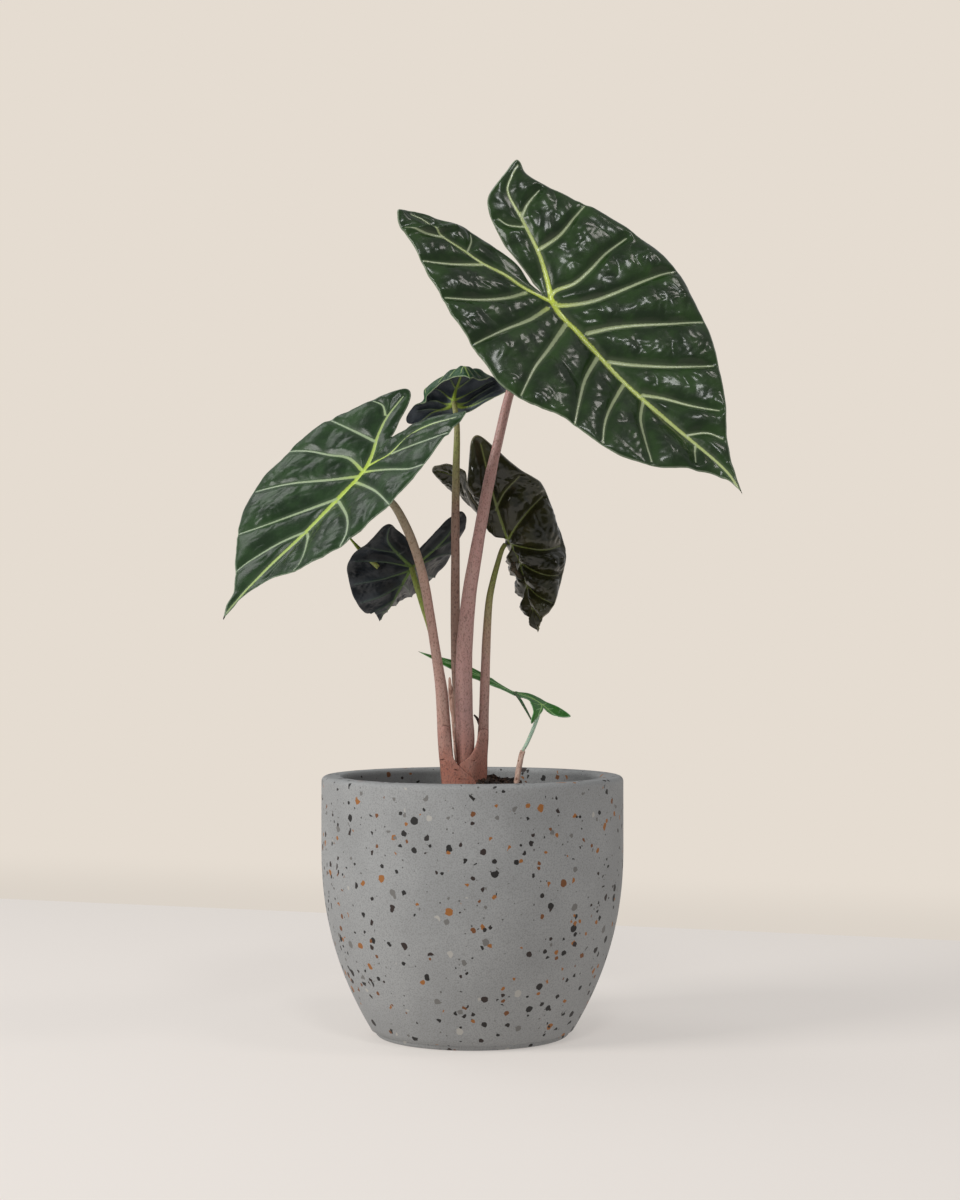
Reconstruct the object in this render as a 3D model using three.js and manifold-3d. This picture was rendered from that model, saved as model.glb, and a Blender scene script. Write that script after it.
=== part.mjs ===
// A young alocasia in a round terrazzo planter: six leaves on long petioles that rise from one crown.
// Millimetres, +Z up. The origin is the middle of the planter's flat base.
import * as THREE from 'three';
import Module from 'manifold-3d';
import { mergeVertices } from 'three/addons/utils/BufferGeometryUtils.js';

const wasm = await Module();
wasm.setup();

// ---- Driving dimensions ----------------------------------------------------------------------

const POT_HEIGHT = 154;
const POT_RIM_RADIUS = 90;
const POT_FOOT_RADIUS = 58;
const POT_BAND_BASE = 112; // above this height the side is straight
const POT_BELLY_POWER = 2.2; // how fast the bowl swells from its foot to the band
const POT_WALL = 13;
const POT_FLOOR = 14;
const POT_EDGE = 3; // rounding of the rim and of the foot
const SOIL_LEVEL = 141;
const SOIL_MOUND = 14; // height of the heap round the stems
const SOIL_MOUND_SPREAD = 30;
const STEMS_AT = new THREE.Vector2(-4, 1);
const CROWN_TOP = 146;
const CROWN_RADIUS = 16;
const CROWN_DEPTH = 28;
const BLADE_THICKNESS = 1.2;
const GAP = 0.35; // clearance between neighbouring solids

const ROUND_SIDES = 56; // sides of the planter and the soil
const STEM_SIDES = 12;
const STEM_STEP = 7; // length of one straight step of a petiole

const material = (color, roughness) => new THREE.MeshStandardMaterial({ color, roughness, metalness: 0 });

const group = new THREE.Group();

function add(name, geometry, look) {
  const mesh = new THREE.Mesh(geometry, look);
  mesh.name = name;
  group.add(mesh);
}

// ---- Solids ----------------------------------------------------------------------------------

function indexed(points, triangles) {
  const geometry = new THREE.BufferGeometry();
  const numbers = points.flatMap((point) => point.toArray());
  geometry.setAttribute('position', new THREE.Float32BufferAttribute(numbers, 3));
  geometry.setIndex(triangles.flat());
  geometry.computeVertexNormals();
  return geometry;
}

function solidOf(geometry) {
  const bare = geometry.clone();
  bare.deleteAttribute('normal');
  bare.deleteAttribute('uv');
  const merged = mergeVertices(bare, 1e-4);
  return new wasm.Manifold(new wasm.Mesh({
    numProp: 3,
    vertProperties: new Float32Array(merged.attributes.position.array),
    triVerts: new Uint32Array(merged.index.array),
  }));
}

function geometryOf(solid) {
  const mesh = solid.getMesh();
  const geometry = new THREE.BufferGeometry();
  geometry.setAttribute('position', new THREE.BufferAttribute(mesh.vertProperties, 3));
  geometry.setIndex(new THREE.BufferAttribute(mesh.triVerts, 1));
  geometry.computeVertexNormals();
  return geometry;
}

function cutAway(geometry, cutters) {
  let solid = solidOf(geometry);
  for (const cutter of cutters) solid = solid.subtract(solidOf(cutter));
  return geometryOf(solid);
}

// A profile of [radius, height] pairs turned about the Z axis.
function turned(profile, sides = ROUND_SIDES) {
  const geometry = new THREE.LatheGeometry(profile.map(([r, z]) => new THREE.Vector2(r, z)), sides);
  return geometry.rotateX(Math.PI / 2);
}

// A closed tube through stations [x, y, z, half width, half depth], wide along X and deep along Y.
function stem(stations, extra = 0) {
  const places = stations.map(([x, y, z]) => new THREE.Vector3(x, y, z));
  const sizes = stations.map(([, , , wide, deep = wide]) => new THREE.Vector2(wide, deep));
  const route = new THREE.CatmullRomCurve3(places, false, 'centripetal');
  const girth = new THREE.SplineCurve(sizes);
  const steps = Math.max(2, Math.round(route.getLength() / STEM_STEP));
  const points = [];
  const triangles = [];
  const last = steps * STEM_SIDES;
  for (let i = 0; i <= steps; i += 1) {
    const u = route.getUtoTmapping(i / steps);
    const centre = route.getPoint(u);
    const along = route.getTangent(u);
    const wide = new THREE.Vector3(1, 0, 0).addScaledVector(along, -along.x).normalize();
    const deep = new THREE.Vector3().crossVectors(along, wide);
    const size = girth.getPoint(u);
    for (let j = 0; j < STEM_SIDES; j += 1) {
      const angle = (2 * Math.PI * j) / STEM_SIDES;
      points.push(centre.clone()
        .addScaledVector(wide, (size.x + extra) * Math.cos(angle))
        .addScaledVector(deep, (size.y + extra) * Math.sin(angle)));
    }
  }
  const foot = points.push(route.getPoint(0)) - 1;
  const top = points.push(route.getPoint(1)) - 1;
  for (let j = 0; j < STEM_SIDES; j += 1) {
    const k = (j + 1) % STEM_SIDES;
    triangles.push([foot, k, j], [top, last + j, last + k]);
    for (let i = 0; i < steps; i += 1) {
      const a = i * STEM_SIDES;
      const b = a + STEM_SIDES;
      triangles.push([a + j, a + k, b + k], [a + j, b + k, b + j]);
    }
  }
  return indexed(points, triangles);
}

// ---- Leaf blades -----------------------------------------------------------------------------
// A blade is drawn flat and then bent. Flat, x runs along the midrib from the junction with the petiole
// to the tip, and y points left seen from above. Each side is listed from the notch to the tip.

const mirrored = (side) => side.map(([x, y]) => [x, -y]);

function sidePoints(side, count) {
  return new THREE.SplineCurve(side.map(([x, y]) => new THREE.Vector2(x, y))).getSpacedPoints(count);
}

// Closed solid of constant thickness about the surface shape(x, y), in rings round the junction.
function bladeSolid(leftSide, rightSide, shape, samples, rings) {
  const left = sidePoints(leftSide, samples);
  const right = sidePoints(rightSide, samples);
  const rim = [...left, ...right.slice(1, -1).reverse()];
  const half = BLADE_THICKNESS / 2;
  const points = [];
  const triangles = [];
  const addPair = (x, y) => {
    const step = 0.2;
    const middle = shape(x, y);
    const alongX = shape(x + step, y).sub(shape(x - step, y));
    const alongY = shape(x, y + step).sub(shape(x, y - step));
    const normal = alongX.cross(alongY).normalize();
    points.push(middle.clone().addScaledVector(normal, half));
    points.push(middle.clone().addScaledVector(normal, -half));
  };
  addPair(0, 0);
  for (let i = 1; i <= rings; i += 1) {
    for (const point of rim) addPair((point.x * i) / rings, (point.y * i) / rings);
  }
  const top = (i, j) => (i === 0 ? 0 : 2 * (1 + (i - 1) * rim.length + j));
  for (let j = 0; j < rim.length; j += 1) {
    const k = (j + 1) % rim.length;
    triangles.push([0, top(1, k), top(1, j)], [1, top(1, j) + 1, top(1, k) + 1]);
    for (let i = 1; i < rings; i += 1) {
      const [a, b, c, d] = [top(i, j), top(i, k), top(i + 1, k), top(i + 1, j)];
      triangles.push([a, b, c], [a, c, d], [a + 1, c + 1, b + 1], [a + 1, d + 1, c + 1]);
    }
    const [e, f] = [top(rings, j), top(rings, k)];
    triangles.push([e, f, f + 1], [e, f + 1, e + 1]);
  }
  return indexed(points, triangles);
}

// Follows a line whose slope angle at share s of its length is slope(s), and gives [along, up].
function followed(length, slope) {
  const steps = 24;
  let along = 0;
  let up = 0;
  for (let i = 0; i < steps; i += 1) {
    const angle = THREE.MathUtils.degToRad(slope((i + 0.5) / steps));
    along += (Math.cos(angle) * length) / steps;
    up += (Math.sin(angle) * length) / steps;
  }
  return [along, up];
}

// A spread blade: its halves rise from the midrib by fold degrees and turn by curl at the widest margin,
// the front droops, and the lobes behind the junction lift.
function spreadShape({ junction, tip, face, halfWidth, front, back, fold, curl, droop, lift }) {
  const axisX = new THREE.Vector3(...tip).normalize();
  const axisZ = new THREE.Vector3(...face);
  axisZ.addScaledVector(axisX, -axisZ.dot(axisX)).normalize();
  const axisY = new THREE.Vector3().crossVectors(axisZ, axisX);
  return (x, y) => {
    const [wide, rise] = followed(Math.abs(y), (s) => fold + curl * ((s * Math.abs(y)) / halfWidth) ** 2);
    const reach = x > 0 ? Math.abs(x) / front : Math.abs(x) / back;
    const bend = x > 0 ? -droop : lift;
    const [along, up] = followed(Math.abs(x), (s) => bend * (s * reach) ** 1.5);
    const slope = THREE.MathUtils.degToRad(bend * reach ** 1.5) * Math.sign(x);
    return new THREE.Vector3(...junction)
      .addScaledVector(axisX, Math.sign(x) * along - rise * Math.sin(slope))
      .addScaledVector(axisY, Math.sign(y) * wide)
      .addScaledVector(axisZ, up + rise * Math.cos(slope));
  };
}

// A crumpled blade: a smooth sheet through pins [x, y, dx, dy, dz], each a flat point and where it
// ends up, measured from the junction.
function pinnedShape(junction, pins) {
  const unitLength = 60;
  const kernel = (dx, dy) => {
    const square = (dx * dx + dy * dy) / unitLength ** 2;
    return square > 1e-12 ? 0.5 * square * Math.log(square) : 0;
  };
  const count = pins.length;
  const ease = 1e-4; // lets the sheet pass a hair beside its pins
  const rows = pins.map(([x, y], i) => [
    ...pins.map(([u, v], j) => kernel(x - u, y - v) + (i === j ? ease : 0)),
    1,
    x / unitLength,
    y / unitLength,
  ]);
  for (let k = 0; k < 3; k += 1) {
    rows.push([...rows.slice(0, count).map((row) => row[count + k]), 0, 0, 0]);
  }
  const targets = [...pins.map(([, , dx, dy, dz]) => [dx, dy, dz]), [0, 0, 0], [0, 0, 0], [0, 0, 0]];
  const weights = solved(rows, targets);
  return (x, y) => {
    const terms = [...pins.map(([u, v]) => kernel(x - u, y - v)), 1, x / unitLength, y / unitLength];
    const place = [0, 1, 2].map((axis) => terms.reduce((sum, term, i) => sum + term * weights[i][axis], 0));
    return new THREE.Vector3(...place).add(new THREE.Vector3(...junction));
  };
}

// Gaussian elimination with pivoting.
function solved(matrix, targets) {
  const rows = matrix.map((row, i) => [...row, ...targets[i]]);
  const size = matrix.length;
  for (let column = 0; column < size; column += 1) {
    let best = column;
    for (let i = column + 1; i < size; i += 1) {
      if (Math.abs(rows[i][column]) > Math.abs(rows[best][column])) best = i;
    }
    [rows[column], rows[best]] = [rows[best], rows[column]];
    for (let i = 0; i < size; i += 1) {
      if (i === column) continue;
      const factor = rows[i][column] / rows[column][column];
      for (let k = column; k < rows[i].length; k += 1) rows[i][k] -= factor * rows[column][k];
    }
  }
  return rows.map((row, i) => row.slice(size).map((value) => value / row[i]));
}

// ---- Planter, soil and crown -----------------------------------------------------------------

function potRadius(z) {
  const share = Math.max(0, 1 - z / POT_BAND_BASE);
  return POT_RIM_RADIUS - (POT_RIM_RADIUS - POT_FOOT_RADIUS) * share ** POT_BELLY_POWER;
}

function heights(from, to, count) {
  return Array.from({ length: count + 1 }, (_, i) => from + ((to - from) * i) / count);
}

const innerRadius = (z) => potRadius(z) - POT_WALL;

const outerWall = [
  ...heights(POT_EDGE, POT_BAND_BASE, 8).map((z) => [potRadius(z), z]),
  [POT_RIM_RADIUS, POT_HEIGHT - POT_EDGE],
];
const roundedRim = [60, 30, 0].map((degrees) => {
  const angle = THREE.MathUtils.degToRad(degrees);
  const out = POT_RIM_RADIUS - POT_EDGE + POT_EDGE * Math.sin(angle);
  return [out, POT_HEIGHT - POT_EDGE + POT_EDGE * Math.cos(angle)];
});
const innerWall = [
  [POT_RIM_RADIUS - POT_WALL + POT_EDGE, POT_HEIGHT],
  [POT_RIM_RADIUS - POT_WALL, POT_HEIGHT - POT_EDGE],
  ...heights(POT_BAND_BASE, POT_FLOOR, 6).map((z) => [innerRadius(z), z]),
];
add('pot', turned([
  [0, 0], [POT_FOOT_RADIUS - POT_EDGE, 0], ...outerWall, ...roundedRim, ...innerWall, [0, POT_FLOOR],
]), material(0x8b8c8b, 0.8));

const soilTop = (radius) => SOIL_LEVEL + SOIL_MOUND * Math.exp(-((radius / SOIL_MOUND_SPREAD) ** 2));
const soilProfile = [
  [0, POT_FLOOR + GAP],
  ...heights(POT_FLOOR + GAP, POT_BAND_BASE, 6).map((z) => [innerRadius(z) - GAP, z]),
  [POT_RIM_RADIUS - POT_WALL - GAP, SOIL_LEVEL],
  ...[60, 48, 38, 29, 21, 14, 7, 0].map((radius) => [radius, soilTop(radius)]),
];
const crownProfile = (extra) => [
  [0, CROWN_TOP - CROWN_DEPTH - extra],
  [CROWN_RADIUS * 0.6 + extra, CROWN_TOP - CROWN_DEPTH * 0.85],
  [CROWN_RADIUS + extra, CROWN_TOP - CROWN_DEPTH * 0.45],
  [CROWN_RADIUS * 0.95 + extra, CROWN_TOP - CROWN_DEPTH * 0.1],
  [CROWN_RADIUS * 0.8 + extra, CROWN_TOP + extra],
  [0, CROWN_TOP + extra],
];
const crown = (extra) => turned(crownProfile(extra), 20).translate(STEMS_AT.x, STEMS_AT.y, 0);
add('crown', crown(0), material(0x6b4a3a, 0.8));

// ---- Petioles --------------------------------------------------------------------------------
// Stations run from the crown to the underside of the blade: x, y, z, half width, half depth.

const FOOT = CROWN_TOP + 1; // each foot is cut square to its slanting petiole, so it needs room
const PETIOLES = {
  big_petiole: [
    [-4.4, -3, FOOT, 4.4, 4], [-4.4, -3, 165, 5.2, 4.3], [-4.7, -3.5, 178, 5.8, 4.3],
    [-5.2, -4.5, 199, 5.2, 4.3], [-4.9, -5.5, 229, 4.9, 4.4], [-2.2, -6.5, 260, 4.3, 4.1],
    [1.6, -7, 284, 3.9], [4.6, -7, 301, 3.6], [9.6, -6, 328, 3.4], [14.3, -3, 349, 2.9],
    [22.4, 3, 383, 2.8], [31, 4, 405, 2.7], [39, -3, 419, 2.5],
    [44.5, -19, 427.5, 2.3], [46.2, -28.6, 432.7, 2.2],
  ],
  left_petiole: [
    [-14, -2, FOOT, 4.2, 3.8], [-14.6, -3, 156, 4.5, 3.8], [-16, -4, 168, 4.3, 3.8],
    [-17.2, -5, 186, 4, 3.8], [-18.4, -5.5, 204, 3.6, 3.5], [-21.6, -6.2, 226, 2.9],
    [-25.5, -7, 251, 2.8], [-28.3, -8, 267, 2.8], [-32, -9, 282, 2.6],
    [-37.2, -10, 297, 2.7], [-45.3, -11, 313, 2.4], [-53, -13, 321, 2.2],
    [-59.8, -19.5, 329, 2], [-63, -24.2, 333.3, 1.9],
  ],
  top_petiole: [
    [-4.6, 6, FOOT, 2.9], [-6.8, 6.5, 174, 2.9], [-8.8, 7, 200, 2.9],
    [-10.1, 7.5, 228, 2.9], [-10.4, 8, 261, 2.8], [-10.3, 8.5, 285, 2.6],
    [-10.3, 8, 308, 2.5], [-9.9, 7, 336, 2.2], [-9.3, 5, 360, 1.8],
    [-10, 4.3, 370, 1.6], [-11, 6.8, 376.5, 1.5], [-11.2, 10.6, 378, 1.3],
  ],
  hanging_petiole: [
    [4.6, 1, FOOT, 3.8, 3.6], [5, 1, 156, 3.9, 3.6], [5.4, 1, 166, 3.7, 3.5], [6.3, 2, 176, 3.4, 3.3],
    [6.9, 3, 192, 3], [7.5, 4, 210, 2.8], [8.4, 6, 235, 2.6], [9.9, 10, 257, 2.2],
    [12.3, 15, 270, 1.9], [15.6, 18.6, 282.5, 1.6], [17.8, 20, 289.5, 1.5],
    [19.8, 21.2, 292.9, 1.4],
  ],
  low_petiole: [
    [-12.6, 6.5, FOOT, 2.6], [-15, 7.5, 175, 2.4], [-18.8, 9.5, 203, 2.2],
    [-22.8, 12, 229, 2], [-25.6, 13, 242, 1.9], [-29.4, 14, 254, 1.9], [-33, 17, 265, 1.8],
    [-36, 22, 274.5, 1.7], [-37.2, 25.2, 278.9, 1.6],
  ],
  seedling_petiole: [
    [26.2, 0, FOOT, 0.9], [28.1, 2, 159.7, 0.9], [29.9, 4, 167.6, 1],
    [33, 6, 173.4, 1.1], [36.9, 8.5, 182.2, 1.1], [39.7, 11.5, 189.5, 1],
    [40.8, 13.6, 194.6, 1],
  ],
};
const SEEDLING_SHEATH = [
  [26.5, 0.3, 149, 1.7], [27.5, 1.4, 156, 1.65], [28.9, 2.8, 163, 1.6], [30.3, 4.2, 168.3, 1.5],
];

const petioleLooks = {
  big_petiole: material(0x9a7068, 0.6),
  left_petiole: material(0xa07a6c, 0.6),
  top_petiole: material(0x7c5f52, 0.6),
  hanging_petiole: material(0x8d6d60, 0.6),
  low_petiole: material(0x8fa04a, 0.6),
  seedling_petiole: material(0xa9c9a4, 0.6),
};
for (const [name, stations] of Object.entries(PETIOLES)) add(name, stem(stations), petioleLooks[name]);

const seedlingRoom = stem(PETIOLES.seedling_petiole, GAP);
add('seedling_sheath', cutAway(stem(SEEDLING_SHEATH), [seedlingRoom]), material(0xb08d74, 0.8));

// Old leaf bases: a papery strip between two petioles, and a dark stub behind them.
const DRY_SHEATH = [
  [-9.2, -6.3, FOOT, 0.8, 0.5], [-9.2, -6.6, 160, 0.8, 0.5], [-9.8, -7.6, 174, 0.8, 0.5],
  [-10.9, -8.6, 186, 0.9, 0.5], [-12, -9.3, 193, 1.5, 0.5], [-12.8, -9.9, 202, 1.6, 0.5],
  [-13.4, -10, 211, 0.6, 0.4],
];
const OLD_TIP = [
  [1.2, 6.3, FOOT, 0.8, 0.5], [1.3, 5.6, 165, 0.9, 0.5], [1.7, 4.4, 177, 0.9, 0.5], [2.2, 3, 186, 1.3, 0.6],
  [2.7, 2.4, 190.5, 0.6, 0.4],
];
add('dry_sheath', stem(DRY_SHEATH), material(0xb9948a, 0.9));
add('old_sheath_tip', stem(OLD_TIP), material(0x3c2f2a, 0.8));

// The soil closes round everything that stands in it.
const rooms = [...Object.values(PETIOLES), SEEDLING_SHEATH, DRY_SHEATH, OLD_TIP].flatMap((stations) => [
  stem(stations, GAP),
  stem(stations, GAP).translate(0, 0, -GAP),
]);
add('soil', cutAway(turned(soilProfile), [...rooms, crown(GAP)]), material(0x3a2a22, 1));

// ---- The six blades --------------------------------------------------------------------------

const BIG_LEFT = [
  [-16, 0], [-40, 2.5], [-57, 5], [-69, 9], [-78, 15], [-83, 24], [-86, 34], [-84, 42], [-75, 42],
  [-60, 47],
  [-44, 55], [-24, 64], [0, 71], [26, 74], [50, 68], [74, 60], [98, 46], [116, 34], [133, 19],
  [145, 11], [166, 0],
];
const BIG_RIGHT = [
  [-16, 0], [-38, -2.5], [-52, -7], [-68, -15], [-80, -25], [-89, -35], [-93, -44], [-87, -51],
  [-76, -53],
  [-56, -57], [-36, -61], [-12, -66], [12, -68], [36, -70], [56, -62], [74, -53], [98, -47], [118, -37],
  [128, -27], [136, -15], [146, -4], [166, 0],
];
add('big_leaf', bladeSolid(BIG_LEFT, BIG_RIGHT, spreadShape({
  junction: [46.5, -30, 433.4],
  tip: [0.621, -0.24, -0.746],
  face: [0.187, -0.879, 0.438],
  halfWidth: 74,
  front: 162,
  back: 100,
  fold: 14,
  curl: -14,
  droop: -14,
  lift: 6,
}), 30, 5), material(0x1f3320, 0.35));

const LEFT_LEFT = [
  [-28, 0], [-36, 14], [-41, 30], [-46, 45], [-47, 56], [-38, 57], [-20, 55], [4, 55], [28, 54], [52, 48],
  [70, 38], [81, 28], [92, 15], [110, 3], [131, 0],
];
const LEFT_RIGHT = [
  [-28, 0], [-40, -2], [-52, -4], [-61, -7], [-64, -12], [-59, -19], [-48, -31], [-33, -45], [-14, -57],
  [6, -62], [28, -63], [50, -57], [72, -43], [94, -25], [112, -10], [131, 0],
];
add('left_leaf', bladeSolid(LEFT_LEFT, LEFT_RIGHT, spreadShape({
  junction: [-63.6, -25, 334.3],
  tip: [-0.546, -0.414, -0.728],
  face: [-0.437, -0.601, 0.669],
  halfWidth: 60,
  front: 125,
  back: 60,
  fold: 14,
  curl: -14,
  droop: -12,
  lift: 6,
}), 26, 4), material(0x2f4a3c, 0.4));

const TOP_SIDE = [
  [-6, 0], [-14, 5], [-22, 13], [-27, 22], [-22, 28], [-10, 31], [4, 31], [16, 28], [27, 21], [36, 10],
  [42, 0],
];
add('top_leaf', bladeSolid(TOP_SIDE, mirrored(TOP_SIDE), pinnedShape([-11.3, 12, 378.1], [
  [0, 0, 0, 0, 0], [12, 0, 2, 3, 10], [24, 0, 6, -3, 21], [33, 0, 7, -11, 20], [42, 0, 10, -19, 13],
  [0, 15, 12, 8, 5], [-27, 22, 31, -2, 6], [-10, 31, 29, 8, 11], [4, 31, 26, 11, 15], [10, 16, 15, 7, 12],
  [20, 16, 16, 1, 20], [27, 21, 20, -6, 14], [36, 10, 15, -13, 12], [-6, 0, 1, 2, -6],
  [-14, 5, 8, -2, -6],
  [-22, 13, 18, -5, -1], [0, -15, -10, 6, 4], [10, -16, -11, 4, 11], [20, -16, -4, 0, 18],
  [27, -21, -8, -7, 11],
  [36, -10, 1, -14, 14], [16, -28, -14, -5, 6], [4, -31, -17, -7, 0], [8, -24, -18, 0, 8],
  [-10, -31, -24, -4, -2],
  [-27, -22, -26, -2, -13], [-14, -5, -8, 0, -8], [-22, -13, -15, -3, -11],
]), 18, 4), material(0x2b3a30, 0.45));

const HANGING_LEFT = [
  [-14, 0], [-30, 2.5], [-44, 6], [-56, 14], [-63, 25], [-56, 32], [-42, 38], [-22, 43], [0, 45],
  [22, 43],
  [42, 35], [58, 22], [68, 9], [78, 0],
];
const HANGING_RIGHT = [
  [-14, 0], [-30, -2.5], [-44, -6], [-56, -14], [-63, -25], [-56, -32], [-42, -38], [-25, -36],
  [-13, -22],
  [-4, -8], [2, -7], [9, -20], [18, -33], [30, -38], [42, -34], [58, -22], [68, -9], [78, 0],
];
add('hanging_leaf', bladeSolid(HANGING_LEFT, HANGING_RIGHT, pinnedShape([20.9, 22, 294], [
  [0, 0, 0, 0, 0], [26, 0, 8, -1, -17], [52, 0, 13, -8, -37], [78, 0, 17, -12, -55],
  [-63, 25, -19, -16, 64], [-44, 6, -23, -11, 35], [-42, 38, 7, -14, 44], [-22, 43, 21, -3, 36],
  [0, 45, 30, 4, 18],
  [22, 43, 36, 3, -3], [42, 35, 34, -6, -21], [58, 22, 28, -18, -38], [-22, 22, 1, -8, 28],
  [0, 24, 17, -9, 9],
  [26, 22, 25, -12, -15], [-16, 2, -11, -1, 13], [-63, -25, -46, 12, 45], [-46, -8, -27, 3, 43],
  [-42, -38, -36, 30, 34], [-22, -43, -23, 38, 22], [0, -45, -6, 42, 5], [22, -43, 3, 42, -13],
  [42, -35, 7, 27, -24],
  [58, -22, 13, 10, -39], [0, -20, -3, 19, 2],
]), 24, 4), material(0x27261a, 0.3));

const LOW_SIDE = [
  [-12, 0], [-24, 5], [-35, 12], [-42, 22], [-38, 29], [-26, 34], [-8, 38], [12, 38], [30, 33], [46, 22],
  [56, 9], [66, 0],
];
add('low_leaf', bladeSolid(LOW_SIDE, mirrored(LOW_SIDE), pinnedShape([-37.7, 26, 280.1], [
  [0, 0, 0, 0, 0], [22, 0, -8, 14, -13], [46, 0, -16, 30, -25], [66, 0, -22, 46, -33],
  [-42, 22, -12, -32, 24], [-35, 12, -8, -23, 21], [-24, 5, -2, -14, 16], [-26, 34, -26, -30, 12],
  [-8, 38, -37, -18, 3], [12, 38, -38, -2, -8], [30, 33, -35, 11, -19], [46, 22, -29, 22, -28],
  [56, 9, -24, 34, -28],
  [0, 20, -19, -7, 0], [22, 18, -21, 4, -15], [-42, -22, 29, -4, 33], [-24, -5, 13, -9, 18],
  [-26, -34, 32, 13, 22],
  [-8, -38, 25, 25, 9], [12, -38, 18, 37, -2], [30, -33, 3, 43, -15], [46, -22, -10, 48, -22],
  [56, -9, -17, 47, -26],
  [0, -20, 13, 15, 4],
]), 20, 4), material(0x262a2e, 0.5));

const SEEDLING_SIDE = [
  [-5, 0], [-13, 3], [-20, 7], [-22, 11], [-16, 13], [-6, 12], [8, 9], [24, 6.5], [42, 6], [60, 4.5],
  [71, 2], [78, 0],
];
add('seedling_leaf', bladeSolid(SEEDLING_SIDE, mirrored(SEEDLING_SIDE), spreadShape({
  junction: [41.3, 14, 196.1],
  tip: [-0.923, 0.099, 0.373],
  face: [0.4, -0.25, 0.9],
  halfWidth: 14,
  front: 74,
  back: 25,
  fold: 6,
  curl: -10,
  droop: 2,
  lift: -20,
}), 16, 3), material(0x3c7a3c, 0.45));

export default group;
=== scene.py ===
"""A young alocasia in a round terrazzo planter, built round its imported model.

Sizes are worked in millimetres and turned to metres when a mesh is made. +Z is up, and the plant is
looked at from -Y. Every leaf is drawn flat, with its veins, and then bent to its place.
"""
import math
import random

import bpy
import numpy as np
from mathutils import Matrix, Vector, noise
from mathutils.geometry import delaunay_2d_cdt


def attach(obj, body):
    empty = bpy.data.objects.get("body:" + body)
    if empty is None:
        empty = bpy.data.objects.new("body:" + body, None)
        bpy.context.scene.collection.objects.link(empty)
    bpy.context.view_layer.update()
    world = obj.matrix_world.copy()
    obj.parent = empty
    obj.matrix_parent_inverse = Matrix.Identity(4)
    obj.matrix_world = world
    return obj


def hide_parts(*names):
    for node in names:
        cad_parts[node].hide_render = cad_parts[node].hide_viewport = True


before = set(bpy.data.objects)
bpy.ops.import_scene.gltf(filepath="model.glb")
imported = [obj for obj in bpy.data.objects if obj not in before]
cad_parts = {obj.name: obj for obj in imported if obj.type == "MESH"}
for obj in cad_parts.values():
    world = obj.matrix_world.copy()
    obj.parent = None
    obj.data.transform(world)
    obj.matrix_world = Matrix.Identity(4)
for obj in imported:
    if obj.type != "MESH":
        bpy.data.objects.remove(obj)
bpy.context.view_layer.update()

METRES = 0.001
random.seed(7)

# Planter and soil. The planter is turned anew in place of the imported one, and the soil heap leans to
# the right
POT_HEIGHT = 154
POT_RIM_RADIUS = 90
POT_FOOT_RADIUS = 58
POT_BAND_BASE = 112
POT_BELLY_POWER = 2.2
POT_WALL = 13
POT_FLOOR = 14
POT_EDGE = 3
SOIL_LEVEL = 141
SOIL_HEAP = (11, 5)
SOIL_MOUND = 11
SOIL_MOUND_SPREAD = 27
SOIL_CLEARANCE = 0.35
PETIOLE_FOOT = 139

# For each size of stone chip: its cells in mm, about what share of them hold one, and a seed
STONE_CHIPS = ((6.4, 0.22, 0.0), (4.8, 0.15, 3.1), (3.4, 0.08, 7.7))

BLADE_THICKNESS = 0.8
AIR_COLOUR = "#e5dcd1"
AIR_LIGHT = 0.36
FLOOR_COLOUR = "#b6b1ac"
SHEET_END_LEFT = np.array([-430.0, 691.0])
SHEET_END_RIGHT = np.array([379.0, 410.0])
MESH_STEP = 0.95  # spacing of the points of a blade


# ---- Lines and flat drawing ------------------------------------------------------------------

def unit(vector):
    vector = np.array(vector, float)
    return vector / np.linalg.norm(vector)


def smooth_line(points, step):
    """A smooth line through the points, with places about step apart."""
    knots = np.array(points, float)
    knots = np.vstack([knots[:1], knots, knots[-1:]])
    share = np.linspace(0, 1, 17)[1:, None]
    pieces = [knots[1:2]]
    for a, b, c, d in zip(knots, knots[1:], knots[2:], knots[3:]):
        pieces.append(0.5 * (
            2 * b + (c - a) * share
            + (2 * a - 5 * b + 4 * c - d) * share ** 2
            + (3 * b - a - 3 * c + d) * share ** 3))
    dense = np.vstack(pieces)
    run = np.concatenate([[0], np.cumsum(np.linalg.norm(np.diff(dense, axis=0), axis=1))])
    marks = np.linspace(0, run[-1], max(3, round(run[-1] / step) + 1))
    return np.column_stack([np.interp(marks, run, dense[:, k]) for k in range(dense.shape[1])])


def inside(points, ring):
    """True for each point that lies inside the closed ring."""
    odd = np.zeros(len(points), bool)
    x, y = points.T
    for a, b in zip(ring, np.roll(ring, -1, axis=0)):
        if a[1] == b[1]:
            continue
        crosses = (a[1] > y) != (b[1] > y)
        odd ^= crosses & (x < a[0] + (y - a[1]) * (b[0] - a[0]) / (b[1] - a[1]))
    return odd


def nearest_on(points, line):
    """For each point, its distance to the line and the length along the line to the nearest place."""
    best = np.full(len(points), 1e9)
    along = np.zeros(len(points))
    run = 0.0
    for a, b in zip(line, line[1:]):
        span = b - a
        length = np.linalg.norm(span)
        share = np.clip((points - a) @ span / length ** 2, 0, 1)
        distance = np.linalg.norm(points - a - share[:, None] * span, axis=1)
        closer = distance < best
        best[closer] = distance[closer]
        along[closer] = run + share[closer] * length
        run += length
    return best, along


def eased(value, low, high):
    """0 below low and 1 above high, with a smooth step between."""
    share = np.clip((value - low) / (high - low), 0, 1)
    return share * share * (3 - 2 * share)


def noise_at(points, grain, seed=0.0):
    """Smooth noise from -1 to 1 at each point, with lumps about grain across."""
    shift = Vector((seed * 17.3, seed * 5.1, seed * 9.7))
    return np.array([noise.noise(Vector(p) / grain + shift) for p in points])


# ---- Bent surfaces ---------------------------------------------------------------------------

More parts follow.
